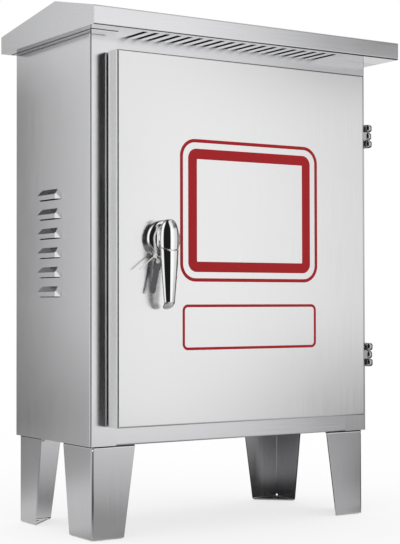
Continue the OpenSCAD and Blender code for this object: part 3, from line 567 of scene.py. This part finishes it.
def lever_point(z, drawn, angle):
    tip = TIP_ROUND - LEVER_REACH
    grip = max(0.0, min(1.0, (BELLY_Z - z) / (BELLY_Z - tip)))
    half = drawn * mix(LEVER_HEAD_W, LEVER_TIP_W, grip ** TAPER_POWER) / 2
    toe = LEVER_TOE * (max(0.0, TOE_L - LEVER_REACH - z) / TOE_L) ** TOE_POWER
    x = half * math.cos(angle)
    y = half * LEVER_FLAT * math.sin(angle)
    if y < -COVER_SPLIT:
        off = math.hypot(x, z - COVER_PIN_UP) - COVER_PIN_UP - COVER_SEAM
        inset = 1 - GROOVE_DEPTH * math.exp(-(off / GROOVE_WIDTH) ** 2)
        x, y = x * inset, y * inset
    return LEVER_CENTRE + Vector((x, y + toe, z))


def lever_skin():
    angles = [math.tau * j / LEVER_SIDES for j in range(LEVER_SIDES)]
    rings = [[lever_point(z, drawn, a) for a in angles] for z, drawn in reversed(lever_rings())]
    return lofted("lever_skin", rings)


def bar(radius, front, back, up=0.0):
    """A round bar along Y through the lever, from its front to its back."""
    return forward_round("bar", LEVER_CENTRE + Vector((0, 0, up)), [(radius, back), (radius, front)])


def add_lever():
    half_t = LEVER_HEAD_W * LEVER_FLAT / 2
    front = -2 * half_t
    zone = COVER_PIN_UP + COVER_SEAM
    lever = carved(
        lever_skin(),
        ("DIFFERENCE", bar(zone + FACE_GAP, front, FACE_GAP - COVER_SPLIT, COVER_PIN_UP)),
        ("UNION", bar(NECK_R, FACE_GAP - COVER_SPLIT - TURN_FIT, half_t)),
        ("DIFFERENCE", bar(PLUG_R + TURN_FIT, front, PLUG_L)),
        ("DIFFERENCE", bar(COVER_PIN_R, front, COVER_PIN_L / 2, COVER_PIN_UP)))
    shade_smooth(lever)
    piece("lever", lever, "lever", "chrome", "lock_chrome", "lever_handle")
    cover = carved(
        lever_skin(),
        ("INTERSECT", bar(zone, front, -COVER_SPLIT, COVER_PIN_UP)),
        ("DIFFERENCE", bar(COVER_PIN_R + TURN_FIT, -COVER_PIN_L / 2 - FACE_GAP, half_t, COVER_PIN_UP)))
    shade_smooth(cover)
    piece("cover", cover, "cover", "chrome", "lock_chrome", "keyhole_cover")


# Red print on the door: a plain double frame over an empty bar

PRINT_T = 0.12 * MM
PRINT_CORNER_STEPS = 12
PRINT_CORNER_LEAST = 1
PRINT_FRAMES = [
    # middle X and Z, width, height, corner radius, line width, all in millimetres
    (5.5, 469.5, 249, 207, 26, 5),
    (5.5, 469.5, 221, 179, 14, 15),
    (6, 300, 242, 66, 9, 4),
]


def rounded_outline(width, height, radius):
    points = []
    for corner in range(4):
        turn = math.pi / 2 * corner
        middle = Vector((width / 2 - radius, height / 2 - radius))
        if corner in (1, 2):
            middle.x = -middle.x
        if corner in (2, 3):
            middle.y = -middle.y
        for i in range(PRINT_CORNER_STEPS + 1):
            a = turn + math.pi / 2 * i / PRINT_CORNER_STEPS
            points.append(middle + radius * Vector((math.cos(a), math.sin(a))))
    return points


def add_print():
    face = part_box("door_panel")[0].y
    points, faces = [], []
    for x, z, width, height, radius, line in PRINT_FRAMES:
        outer = rounded_outline(width * MM, height * MM, radius * MM)
        inner = rounded_outline((width - 2 * line) * MM, (height - 2 * line) * MM,
                                max(radius - line, PRINT_CORNER_LEAST) * MM)
        count = len(outer)
        start = len(points)
        for y in (face, face - PRINT_T):
            for outline in (outer, inner):
                points += [Vector((x * MM + p.x, y, z * MM + p.y)) for p in outline]
        for j in range(count):
            i = (j + 1) % count
            loops = [start + k * count for k in (0, 1, 3, 2)]
            for a, b in zip(loops, loops[1:] + loops[:1]):
                faces.append((a + j, a + i, b + i, b + j))
    mesh = mesh_of("print", points, faces)
    piece("door_print", outward(mesh), "door", "red_print", "red_print")


def outward(mesh):
    """The mesh with all its faces turned outwards."""
    work = bmesh.new()
    work.from_mesh(mesh)
    bmesh.ops.recalc_face_normals(work, faces=work.faces)
    work.to_mesh(mesh)
    work.free()
    return mesh


# Hex nuts, bolts, threaded studs and thin black rods along joint lines, each grown by a node tree

NUT_T_RATIO = 1.5
NUT_FLATS_RATIO = 3.25
BOLT_R = 4 * MM
LEAF_STUD_R = 3 * MM
CHAMFER = 0.96
THREAD_PITCH = 1.25 * MM
THREAD_DEPTH = 0.5 * MM
THREAD_STEPS = 20
THREAD_SIDES = 4
ROD_SIDES = 32
BORE_SIDES = 48
BEAD_R = 0.4 * MM
BEAD_DROP = 0.24 * MM
BEAD_SIDES = 12
BEAD_CORNER = 2.4 * MM
BEAD_FRONT = 42 * MM
BEAD_STEPS = 8
LEG_BEAD_R = 1.4 * MM
LEG_BEAD_CORNER = 3.2 * MM
WELD_DISTANCE = 0.001 * MM
AXES = {"x": Vector((1, 0, 0)), "y": Vector((0, 1, 0)), "z": Vector((0, 0, 1))}


class Growth:
    """A geometry node tree with named inputs, and short ways to add and join its nodes."""

    def __init__(self, name, **inputs):
        self.tree = bpy.data.node_groups.new(name, "GeometryNodeTree")
        face = self.tree.interface
        face.new_socket("Places", in_out="INPUT", socket_type="NodeSocketGeometry")
        face.new_socket("Grown", in_out="OUTPUT", socket_type="NodeSocketGeometry")
        self.sockets = {}
        for key, value in inputs.items():
            kind = "NodeSocketMaterial" if isinstance(value, bpy.types.Material) else "NodeSocketFloat"
            self.sockets[key] = (face.new_socket(key, in_out="INPUT", socket_type=kind).identifier, value)
        self.given = self.tree.nodes.new("NodeGroupInput").outputs
        self.end = self.tree.nodes.new("NodeGroupOutput")

    def node(self, kind, settings=None, **inputs):
        made = self.tree.nodes.new(kind)
        for key, value in (settings or {}).items():
            setattr(made, key, value)
        for key, value in inputs.items():
            self.join(value, made.inputs[key.replace("_", " ")])
        return made.outputs[0]

    def join(self, value, socket):
        if isinstance(value, bpy.types.NodeSocket):
            self.tree.links.new(value, socket)
        else:
            socket.default_value = value

    def maths(self, operation, a, b):
        made = self.tree.nodes.new("ShaderNodeMath")
        made.operation = operation
        self.join(a, made.inputs[0])
        self.join(b, made.inputs[1])
        return made.outputs[0]

    def boolean(self, operation, first, *others):
        made = self.tree.nodes.new("GeometryNodeMeshBoolean")
        made.operation = operation
        made.solver = "EXACT"
        if operation == "DIFFERENCE":
            self.join(first, made.inputs["Mesh 1"])
        else:
            others = (first, *others)
        for other in others:
            self.join(other, made.inputs["Mesh 2"])
        return made.outputs["Mesh"]

    def joined(self, *parts):
        made = self.tree.nodes.new("GeometryNodeJoinGeometry")
        for part in reversed(parts):
            self.join(part, made.inputs["Geometry"])
        return made.outputs["Geometry"]

    def moved(self, part, up):
        place = self.tree.nodes.new("ShaderNodeCombineXYZ")
        self.join(up, place.inputs["Z"])
        return self.node("GeometryNodeTransform", Geometry=part, Translation=place.outputs[0])

    def swept(self, curve, radius, sides):
        """A round or cornered bar along a curve, closed at its ends."""
        ring = self.node("GeometryNodeCurvePrimitiveCircle", {"mode": "RADIUS"}, Resolution=sides,
                         Radius=radius)
        return self.node("GeometryNodeCurveToMesh", Curve=curve, Profile_Curve=ring, Fill_Caps=True)

    def on_places(self, part):
        """Copies of a part on the places, each turned to its place's axis."""
        axis = self.node("GeometryNodeInputNamedAttribute", {"data_type": "FLOAT_VECTOR"}, Name="axis")
        turn = self.node("FunctionNodeAlignRotationToVector", {"axis": "Z"}, Vector=axis)
        return self.node("GeometryNodeInstanceOnPoints", Points=self.given["Places"],
                         Instance=part, Rotation=turn)

    def finish(self, part):
        real = self.node("GeometryNodeRealizeInstances", Geometry=part)
        done = self.node("GeometryNodeSetMaterial", Geometry=real, Material=self.given["Finish"])
        self.join(done, self.end.inputs["Grown"])

    def grow(self, places, linked=False):
        """The tree's plain mesh, grown on places with their axes, or along the line through them."""
        seeds = bpy.data.meshes.new("places")
        lines = [(i, i + 1) for i in range(len(places) - 1)] if linked else []
        seeds.from_pydata([place for place, axis in places], lines, [])
        axis = seeds.attributes.new("axis", "FLOAT_VECTOR", "POINT")
        axis.data.foreach_set("vector", [number for place, along in places for number in along])
        work = bpy.data.objects.new("growth", seeds)
        bpy.context.scene.collection.objects.link(work)
        modifier = work.modifiers.new("growth", "NODES")
        modifier.node_group = self.tree
        for identifier, value in self.sockets.values():
            modifier[identifier] = value
        bpy.context.view_layer.update()
        made = bpy.data.meshes.new_from_object(work.evaluated_get(bpy.context.evaluated_depsgraph_get()))
        work.modifiers.remove(modifier)
        bpy.data.objects.remove(work)
        bpy.data.meshes.remove(seeds)
        return outward(made)


def hexagon(growth):
    """A hexagon with the corners of both faces turned off, from its own middle."""
    flats = growth.given["Flats"]
    height = growth.given["Height"]
    radius = growth.maths("DIVIDE", flats, math.sqrt(3))
    prism = growth.node("GeometryNodeMeshCylinder", Vertices=6, Radius=radius, Depth=height)
    narrow = growth.maths("MULTIPLY", flats, CHAMFER / 2)
    wide = growth.maths("ADD", narrow, growth.maths("MULTIPLY", height, math.sqrt(3)))
    half = growth.maths("MULTIPLY", height, -0.5)
    cones = []
    for top, bottom in ((narrow, wide), (wide, narrow)):
        cone = growth.node("GeometryNodeMeshCone", Vertices=BORE_SIDES, Radius_Top=top,
                           Radius_Bottom=bottom, Depth=height)
        cones.append(growth.moved(cone, half))
    return growth.boolean("INTERSECT", prism, *cones)


def nut_growth(radius):
    growth = Growth("hex_nuts", Flats=radius * NUT_FLATS_RATIO, Height=radius * NUT_T_RATIO,
                    Bore=radius + TURN_FIT, Finish=MATERIALS["zinc_plate"])
    length = growth.maths("MULTIPLY", growth.given["Height"], 2.0)
    bore = growth.node("GeometryNodeMeshCylinder", Vertices=BORE_SIDES, Radius=growth.given["Bore"],
                       Depth=length)
    growth.finish(growth.on_places(growth.boolean("DIFFERENCE", hexagon(growth), bore)))
    return growth


def bolt_growth(radius, length):
    """Bolts whose places are the middles of their heads."""
    growth = Growth("hex_bolts", Flats=radius * NUT_FLATS_RATIO, Height=radius * NUT_T_RATIO,
                    Core=radius - THREAD_DEPTH, Length=length, Finish=MATERIALS["zinc_plate"])
    rod = growth.moved(thread(growth), growth.maths("MULTIPLY", growth.given["Height"], 0.5))
    growth.finish(growth.on_places(growth.joined(hexagon(growth), rod)))
    return growth


def thread(growth):
    """A threaded rod that stands on its place: a core with a coiled ridge."""
    core = growth.given["Core"]
    length = growth.given["Length"]
    half = growth.maths("MULTIPLY", length, 0.5)
    rod = growth.node("GeometryNodeMeshCylinder", Vertices=ROD_SIDES, Radius=core, Depth=length)
    rise = growth.maths("SUBTRACT", length, 2 * THREAD_DEPTH)
    turns = growth.maths("DIVIDE", rise, THREAD_PITCH)
    coil = growth.node("GeometryNodeCurveSpiral", Resolution=THREAD_STEPS, Rotations=turns,
                       Start_Radius=core, End_Radius=core, Height=rise)
    ridge = growth.swept(coil, THREAD_DEPTH, THREAD_SIDES)
    return growth.joined(growth.moved(rod, half), growth.moved(ridge, THREAD_DEPTH))


def stud_growth(radius, length):
    growth = Growth("studs", Core=radius - THREAD_DEPTH, Length=length, Finish=MATERIALS["zinc_plate"])
    growth.finish(growth.on_places(thread(growth)))
    return growth


def solids(node):
    """The boxes of a CAD node's separate solids."""
    work = bmesh.new()
    work.from_mesh(NODES[node].data)
    bmesh.ops.remove_doubles(work, verts=work.verts, dist=WELD_DISTANCE)
    left = set(work.verts)
    boxes = []
    while left:
        found, edge = set(), [left.pop()]
        while edge:
            point = edge.pop()
            found.add(point)
            for line in point.link_edges:
                other = line.other_vert(point)
                if other in left:
                    left.remove(other)
                    edge.append(other)
        low = Vector([min(point.co[i] for point in found) for i in range(3)])
        high = Vector([max(point.co[i] for point in found) for i in range(3)])
        boxes.append((low, high))
    work.free()
    return sorted(boxes, key=lambda box: tuple(box[0]))


def add_nuts(name, node, body, radius, axis):
    places = [((low + high) / 2, AXES[axis]) for low, high in solids(node)]
    piece(name, nut_growth(radius).grow(places), body, "zinc_plate", "zinc", node)


def add_bolts(name, node, radius):
    """Bolts that stand on their heads."""
    boxes = solids(node)
    head = radius * NUT_T_RATIO
    length = boxes[0][1].z - boxes[0][0].z - head
    places = []
    for low, high in boxes:
        middle = (low + high) / 2
        places.append((Vector((middle.x, middle.y, low.z + head / 2)), AXES["z"]))
    piece(name, bolt_growth(radius, length).grow(places), "cabinet", "zinc_plate", "zinc", node)


def add_studs(name, node, radius):
    """Studs that stand out of the back panel towards the door."""
    boxes = solids(node)
    length = boxes[0][1].y - boxes[0][0].y
    places = []
    for low, high in boxes:
        middle = (low + high) / 2
        places.append((Vector((middle.x, high.y, middle.z)), -AXES["y"]))
    piece(name, stud_growth(radius, length).grow(places), "cabinet", "zinc_plate", "zinc", node)


def round_corner(corner, along_x, along_y, radius):
    """A level line round a corner, from its end along Y to its end along X."""
    inward = Vector((math.copysign(radius, along_x), math.copysign(radius, along_y), 0))
    path = [corner + Vector((0, along_y, 0))]
    for i in range(BEAD_STEPS + 1):
        a = math.pi / 2 * i / BEAD_STEPS
        path.append(corner + Vector((inward.x * (1 - math.cos(a)), inward.y * (1 - math.sin(a)), 0)))
    path.append(corner + Vector((along_x, 0, 0)))
    return path


def bead_along(name, path, radius):
    growth = Growth(name, Radius=radius, Finish=MATERIALS["seal_rubber"])
    line = growth.node("GeometryNodeMeshToCurve", Mesh=growth.given["Places"])
    growth.finish(growth.swept(line, growth.given["Radius"], BEAD_SIDES))
    bead = growth.grow([(place, AXES["z"]) for place in path], linked=True)
    shade_smooth(bead)
    piece(name, bead, "cabinet", "seal_rubber", "seal_rubber")


def add_dark_lines():
    """Thin black rods that draw dark lines: under the hood's soffit at the left, and in the fold along the
    top of each leg.
    """
    low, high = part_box("left_side_panel")
    corner = Vector((low.x, low.y, HOOD_LOW.z - BEAD_DROP))
    bead_along("soffit_dark_line", round_corner(corner, BEAD_FRONT, high.y - low.y, BEAD_CORNER), BEAD_R)
    for end in ("front", "rear"):
        for side in ("left", "right"):
            low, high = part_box(f"leg_{end}_{side}")
            x, along_x = (low.x, 1) if side == "left" else (high.x, -1)
            y, along_y = (low.y, 1) if end == "front" else (high.y, -1)
            corner = Vector((x + along_x * LEG_BEAD_R, y + along_y * LEG_BEAD_R, high.z - LEG_BEAD_R))
            path = round_corner(corner, along_x * (high.x - low.x - 2 * LEG_BEAD_R),
                                along_y * (high.y - low.y - 2 * LEG_BEAD_R), LEG_BEAD_CORNER)
            bead_along(f"leg_dark_line_{end}_{side}", path, LEG_BEAD_R)


def add_fasteners():
    add_nuts("leg_nut_set", "leg_nuts", "cabinet", BOLT_R, "z")
    add_nuts("plate_nut_set", "plate_nuts", "cabinet", BOLT_R, "y")
    add_nuts("earth_nut_set", "earth_nuts", "cabinet", BOLT_R, "z")
    add_nuts("frame_hinge_nut_set", "hinge_frame_nuts", "cabinet", LEAF_STUD_R, "y")
    add_nuts("door_hinge_nut_set", "hinge_door_nuts", "door", LEAF_STUD_R, "x")
    add_bolts("leg_bolt_set", "leg_bolts", BOLT_R)
    add_bolts("earth_bolt", "earth_stud", BOLT_R)
    add_studs("plate_stud_set", "plate_studs", BOLT_R)


# Camera

def add_camera():
    """A camera with the photograph's view: its pixel scale fits the image's long side."""
    camera = bpy.data.cameras.new("camera")
    camera.sensor_fit = "AUTO"
    camera.sensor_width = SENSOR_WIDTH
    camera.lens = FOCAL_PIXELS * SENSOR_WIDTH / IMAGE_LONG_SIDE
    camera.clip_start = CLIP_START
    ahead = Vector((math.sin(CAMERA_YAW) * math.cos(CAMERA_PITCH),
                    math.cos(CAMERA_YAW) * math.cos(CAMERA_PITCH), math.sin(CAMERA_PITCH)))
    right = Vector((math.cos(CAMERA_YAW), -math.sin(CAMERA_YAW), 0))
    up = right.cross(ahead)
    turn = Matrix((right, up, -ahead)).transposed() @ Matrix.Rotation(CAMERA_ROLL, 3, "Z")
    made = bpy.data.objects.new("camera", camera)
    made.matrix_world = Matrix.Translation(CAMERA_PLACE) @ turn.to_4x4()
    bpy.context.scene.collection.objects.link(made)
    bpy.context.scene.camera = made


# Stage: a white dome and floor, with grey cards that only reflections see

FLOOR_SIZE = 60
FLOOR_GLOW = 0.7
CARD_STEP = 3
WALL_REACH = 2.0
CEILING_Z = 2.6
CARD_LIFT = 0.002

# Brightness of the wall by bearing from the front towards the right, for each height
WALL = {
    0.0: [(-180, 0.3), (-165, 0.12), (-156, 0.08), (-149, 0.12), (-146, 0.2), (-143, 0.5), (-136, 0.6),
          (-122, 0.55), (-100, 0.6), (-92, 0.9), (-52, 0.9), (-49, 0.012), (13, 0.012), (15, 1.05),
          (26, 1.05), (33, 0.84), (40, 0.38), (50, 0.2), (68, 0.2), (75, 0.05), (105, 0.05), (118, 0.8),
          (180, 0.3)],
    0.3: [(-180, 0.5), (-165, 0.2), (-156, 0.13), (-149, 0.2), (-146, 0.44), (-143, 0.86), (-136, 0.86),
          (-122, 0.5), (-100, 0.55), (-92, 1.0), (-52, 1.0), (-49, 0.012), (13, 0.012), (15, 1.07),
          (33, 1.05), (40, 0.86), (50, 0.75), (68, 0.7), (75, 0.05), (105, 0.05), (118, 0.85),
          (180, 0.5)],
    0.9: [(-180, 0.5), (-165, 0.2), (-156, 0.13), (-149, 0.2), (-146, 0.46), (-143, 0.88), (-136, 0.88),
          (-122, 0.5), (-100, 0.55), (-92, 1.0), (-52, 1.0), (-49, 0.012), (13, 0.012), (15, 1.07),
          (33, 1.05), (40, 0.82), (50, 0.75), (68, 0.7), (75, 0.05), (105, 0.05), (118, 0.85),
          (180, 0.5)],
    1.08: [(-180, 0.5), (-156, 0.55), (-149, 0.62), (-143, 0.85), (-136, 0.88), (-122, 0.55),
           (-100, 0.6), (-92, 1.0), (-52, 1.0), (-49, 0.012), (13, 0.012), (15, 1.05), (26, 1.05),
           (33, 0.78), (38.5, 0.37), (44, 0.16), (60, 0.16), (75, 0.05), (105, 0.05), (118, 0.8),
           (180, 0.5)],
    1.3: [(-180, 0.2), (-152, 0.25), (-143, 0.85), (-120, 0.7), (-92, 1.0), (-50, 1.0), (-46, 0.012),
          (9, 0.012), (12, 1.0), (33, 0.8), (44, 0.2), (60, 0.2), (75, 0.1), (105, 0.1), (118, 0.8),
          (150, 0.5), (180, 0.2)],
    1.5: [(-180, 0.02), (-150, 0.02), (-138, 0.9), (-120, 1.0), (-48, 1.0), (-44, 0.012), (6, 0.012),
          (10, 1.0), (33, 0.8), (44, 0.25), (60, 0.25), (75, 0.2), (120, 0.8), (150, 0.5), (164, 0.02),
          (180, 0.02)],
    2.6: [(-180, 0.02), (-150, 0.02), (-138, 0.9), (-120, 1.0), (-44, 1.0), (-40, 0.012), (2, 0.012),
          (6, 1.0), (33, 0.8), (44, 0.3), (75, 0.3), (120, 0.8), (150, 0.6), (164, 0.02), (180, 0.02)],
}

# Brightness of the floor card by bearing, for each reach: the floor as reflections see it, with a painted
# shadow of the cabinet near its middle
FLOOR_CARD = {
    0.0: [(-180, 0.03), (180, 0.03)],
    0.25: [(-180, 0.04), (-165, 0.05), (-150, 0.2), (-140, 0.3), (-128, 0.62), (-90, 0.62), (-60, 0.36),
           (-10, 0.38), (10, 0.48), (64, 0.5), (68, 0.02), (120, 0.02), (180, 0.04)],
    0.38: [(-180, 0.04), (-165, 0.05), (-148, 0.25), (-139, 0.33), (-128, 0.65), (-90, 0.65),
           (-50, 0.3), (-24, 0.3), (-10, 0.4), (58, 0.52), (63, 0.02), (120, 0.02), (180, 0.04)],
    0.5: [(-180, 0.04), (-165, 0.05), (-146, 0.28), (-138, 0.37), (-128, 0.68), (-90, 0.7), (-66, 0.04),
          (-16, 0.04), (-7, 0.5), (53, 0.54), (56, 0.02), (120, 0.02), (180, 0.04)],
    0.75: [(-180, 0.04), (-165, 0.05), (-146, 0.3), (-138, 0.38), (-128, 0.72), (-90, 0.75),
           (-72, 0.05), (-20, 0.05), (-8, 0.66), (30, 0.6), (46, 0.55), (49, 0.02), (100, 0.02),
           (120, 0.1), (180, 0.04)],
    1.2: [(-180, 0.4), (-165, 0.15), (-146, 0.3), (-138, 0.4), (-120, 0.7), (-60, 0.25), (-20, 0.25),
          (-8, 0.7), (30, 0.7), (45, 0.45), (48, 0.03), (80, 0.05), (100, 0.3), (180, 0.4)],
    2.0: [(-180, 0.3), (-165, 0.12), (-156, 0.08), (-149, 0.12), (-143, 0.5), (-136, 0.6), (-120, 0.9),
          (-72, 0.9), (-49, 0.06), (8, 0.06), (15, 1.05), (26, 1.05), (33, 0.84), (40, 0.16),
          (50, 0.12), (100, 0.35), (180, 0.3)],
}

# Brightness of the ceiling by bearing, for each reach
CEILING_CARD = {
    0.0: [(-180, 0.04), (180, 0.04)],
    0.6: [(-180, 0.05), (180, 0.05)],
    1.0: [(-180, 0.5), (-56, 0.5), (-46, 0.02), (6, 0.02), (16, 0.5), (180, 0.5)],
    2.0: [(-180, 0.8), (-50, 0.8), (-40, 0.012), (2, 0.012), (12, 0.8), (180, 0.8)],
}


def add_world():
    world = bpy.data.worlds.new("studio")
    world.use_nodes = True
    sky = world.node_tree.nodes["Background"]
    sky.inputs["Color"].default_value = (*WHITE, 1)
    sky.inputs["Strength"].default_value = 1.0
    bpy.context.scene.world = world
    bpy.context.scene.view_settings.view_transform = "Standard"


def staged(name, mesh, material):
    made = bpy.data.objects.new(name, mesh)
    mesh.materials.append(material)
    bpy.context.scene.collection.objects.link(made)
    return made


def add_floor():
    half = FLOOR_SIZE / 2
    corners = [(-half, -half, 0), (half, -half, 0), (half, half, 0), (-half, half, 0)]
    shader = Shader("floor", WHITE, 0.9)
    shader.set("Specular IOR Level", 0.0)
    glow = shader.node("ShaderNodeEmission")
    glow.inputs["Color"].default_value = (*WHITE, 1)
    seen = shader.node("ShaderNodeLightPath").outputs["Is Camera Ray"]
    mixed = shader.node("ShaderNodeMixShader")
    shader.link(shader.maths("MULTIPLY", seen, FLOOR_GLOW), mixed, "Fac")
    shader.tree.links.new(shader.bsdf.outputs["BSDF"], mixed.inputs[1])
    shader.tree.links.new(glow.outputs["Emission"], mixed.inputs[2])
    shader.link(mixed.outputs["Shader"], shader.tree.nodes["Material Output"], "Surface")
    staged("floor", mesh_of("floor", corners, [(0, 1, 2, 3)]), shader.material)


def level_at(bearing, levels):
    """The brightness between two listed bearings."""
    for (start, low), (end, high) in zip(levels, levels[1:]):
        if start <= bearing <= end:
            return mix(low, high, (bearing - start) / (end - start))
    return levels[-1][1]


def card_material():
    material = bpy.data.materials.new("card")
    material.use_nodes = True
    tree = material.node_tree
    tree.nodes.remove(tree.nodes["Principled BSDF"])
    glow = tree.nodes.new("ShaderNodeEmission")
    level = tree.nodes.new("ShaderNodeAttribute")
    level.attribute_name = "level"
    tree.links.new(level.outputs["Color"], glow.inputs["Color"])
    tree.links.new(glow.outputs["Emission"], tree.nodes["Material Output"].inputs["Surface"])
    return material


def add_card(name, rows, material):
    """A grey card seen by reflections alone: each row is its reach, its height and its brightness table."""
    bearings = list(range(-180, 181, CARD_STEP))
    points, shades, faces = [], [], []
    for reach, height, levels in rows:
        for bearing in bearings:
            a = math.radians(bearing)
            points.append((reach * math.sin(a), -reach * math.cos(a), height))
            shades.append(level_at(bearing, levels))
    count = len(bearings)
    for k in range(len(rows) - 1):
        for j in range(count - 1):
            faces.append((k * count + j, k * count + j + 1, (k + 1) * count + j + 1, (k + 1) * count + j))
    mesh = mesh_of(name, points, faces)
    level = mesh.color_attributes.new("level", "FLOAT_COLOR", "POINT")
    level.data.foreach_set("color", [value for shade in shades for value in (shade, shade, shade, 1.0)])
    card = staged(name, mesh, material)
    card.visible_camera = False
    card.visible_diffuse = False
    card.visible_shadow = False
    card.visible_transmission = False


def add_cards():
    material = card_material()
    add_card("card_wall", [(WALL_REACH, z, levels) for z, levels in WALL.items()], material)
    add_card("card_floor", [(reach, CARD_LIFT, levels) for reach, levels in FLOOR_CARD.items()], material)
    add_card("card_ceiling", [(reach, CEILING_Z, levels) for reach, levels in CEILING_CARD.items()],
             material)


add_lever()
add_print()
add_fasteners()
add_dark_lines()
add_camera()
add_world()
add_floor()
add_cards()
